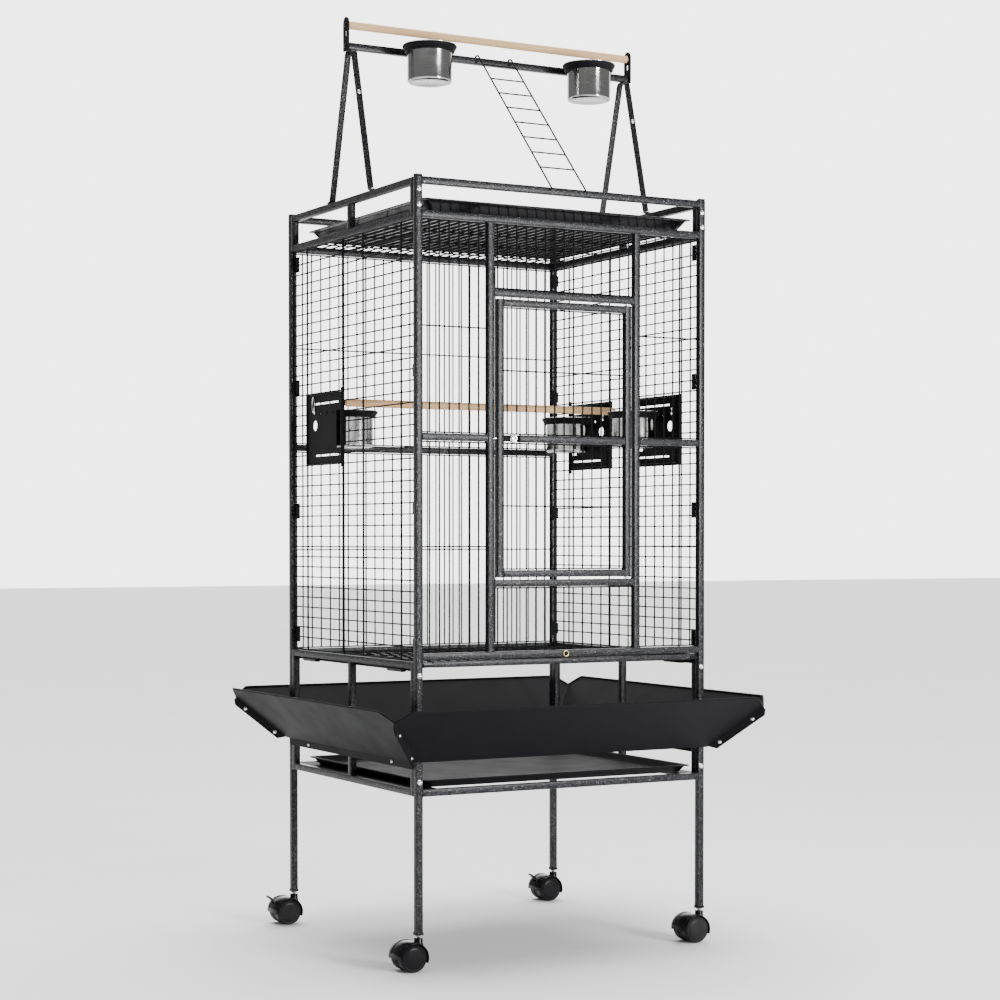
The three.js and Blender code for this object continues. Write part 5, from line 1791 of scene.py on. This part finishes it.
@dataclass
class Fixings(Assembly):
    """Screws on the posts, and the clips under the grate's runners."""

    front_levels: tuple[float, ...] = (1379.0, 1351.5, 521.5, 333.4)

    def build(self) -> None:
        """Builds the screws and the clips."""
        low, high = node_box("front_panel_frame")
        _, back_high = node_box("back_panel_frame")
        x = high[0] - 6.35
        spots = [[s * x, low[1], z] for s in (-1, 1) for z in self.front_levels]
        facing = [[0, -1, 0]] * len(spots)
        rear = [[s * x, back_high[1], z] for s in (-1, 1) for z in self.front_levels]
        spots, facing = spots + rear, facing + [[0, 1, 0]] * len(rear)
        surface = Surface().add(screw_heads(np.array(spots), np.array(facing, float)))
        fold = np.array([[s * 309.3, y, 363.5] for s in (-1, 1) for y in (-191.0, 178.0)])
        surface.add(screw_heads(fold, np.sign(fold) * [1, 0, 0], 2.7, 1.6))
        self.place("post_screws", surface, FINISHES.zinc, "cage")
        clips = []
        for s in (-1, 1):
            for y in (-188.0, 188.0):
                clips.append([s * 293.5, s * 303.5, y - 30, y + 30, 525.5, 532.8])
        self.place("runner_clips", Surface().add(bars(clips, 1.6, 3)), FINISHES.hood, "cage")


@dataclass
class Studio:
    """Floor, light and camera."""

    camera_at: tuple[float, float, float] = (-2034.8, -3734.7, 762.4)
    yaw: float = 28.798
    pitch: float = -1.498
    focal: float = 78.9
    shift: float = 0.097
    floor_half: float = 30000.0
    world_light: float = 4.2
    dim_light: float = 0.3
    overhead: float = 5.0

    def build_floor(self) -> None:
        """A wide flat floor just under the wheels."""
        h = self.floor_half
        data = bpy.data.meshes.new("studio_floor")
        corners = np.array([[-h, -h, 0], [h, -h, 0], [h, h, 0], [-h, h, 0]]) * MM
        data.from_pydata(corners.tolist(), [], [(0, 1, 2, 3)])
        floor = bpy.data.objects.new("studio_floor", data)
        data.materials.append(StudioPaper().material())
        bpy.context.scene.collection.objects.link(floor)

    def build_light(
        self, name: str, place: Sequence[float], size: float, power: float, target: Sequence[float]
    ) -> None:
        """A square area light aimed at a point.

        Args:
            name: Its name.
            place: Where it is.
            size: Its side.
            power: Its power in watts.
            target: What it faces.
        """
        lamp = bpy.data.lights.new(name, "AREA")
        lamp.energy, lamp.size = power, size * MM
        light = bpy.data.objects.new(name, lamp)
        start = np.array(place, float)
        aim = unit(np.array(target, float) - start)
        light.location = start * MM
        light.rotation_euler = (math.acos(-aim[2]), 0.0, math.atan2(aim[1], aim[0]) - TURN / 4)
        bpy.context.scene.collection.objects.link(light)

    def build_camera(self) -> None:
        """The camera."""
        lens = bpy.data.cameras.new("studio_camera")
        lens.lens, lens.sensor_width, lens.shift_y = self.focal, 36.0, self.shift
        lens.clip_end = 100.0
        camera = bpy.data.objects.new("studio_camera", lens)
        camera.location = np.array(self.camera_at) * MM
        camera.rotation_euler = (math.radians(90.0 + self.pitch), 0.0, -math.radians(self.yaw))
        bpy.context.scene.collection.objects.link(camera)
        bpy.context.scene.camera = camera

    def build(self) -> None:
        """Builds the studio."""
        self.build_floor()
        middle = (0.0, 0.0, 850.0)
        self.build_light("front_softbox", (1350, -3900, 1300), 900, 190.0, (-200.0, -280.0, 900.0))
        self.build_light("top_light", (0, 900, 4200), 3000, 60.0, middle)
        sun = bpy.data.lights.new("soft_overhead", "SUN")
        sun.energy, sun.angle = self.overhead, math.radians(60.0)
        overhead = bpy.data.objects.new("soft_overhead", sun)
        overhead.rotation_euler = (math.radians(-12.0), math.radians(8.0), 0.0)
        bpy.context.scene.collection.objects.link(overhead)
        self.build_world()
        self.build_camera()

    def build_world(self) -> None:
        """The surroundings: bright behind the cage and dim in front of it, by how far a direction points back."""
        world = bpy.data.worlds.new("studio_world")
        world.use_nodes = True
        tree = world.node_tree
        background = tree.nodes["Background"]
        background.inputs["Color"].default_value = (1.0, 1.0, 1.0, 1.0)
        away = math.radians(self.yaw)
        dot = tree.nodes.new("ShaderNodeVectorMath")
        dot.operation = "DOT_PRODUCT"
        tree.links.new(tree.nodes.new("ShaderNodeTexCoord").outputs["Generated"], dot.inputs[0])
        dot.inputs[1].default_value = (math.sin(away), math.cos(away), 0.0)
        share = remap(tree, dot.outputs["Value"], 0.72, 0.95)
        wanted = {"Value": share, "To Min": self.dim_light, "To Max": self.world_light}
        tree.links.new(new_node(tree, "ShaderNodeMapRange", wanted).outputs[0], background.inputs["Strength"])
        bpy.context.scene.world = world


def main() -> None:
    """Builds the cage and its studio."""
    logging.basicConfig(level=logging.INFO, format="%(name)s %(message)s")
    makers = (TubeFrame, WirePanels, Door, SeedSkirt, Trays, Cups, Feeders, PlayTop, Castors, Fixings)
    for part in (maker() for maker in makers):
        part.build()
        LOG.info("%s built", type(part).__name__)
    Studio().build()


if __name__ == "__main__":
    main()
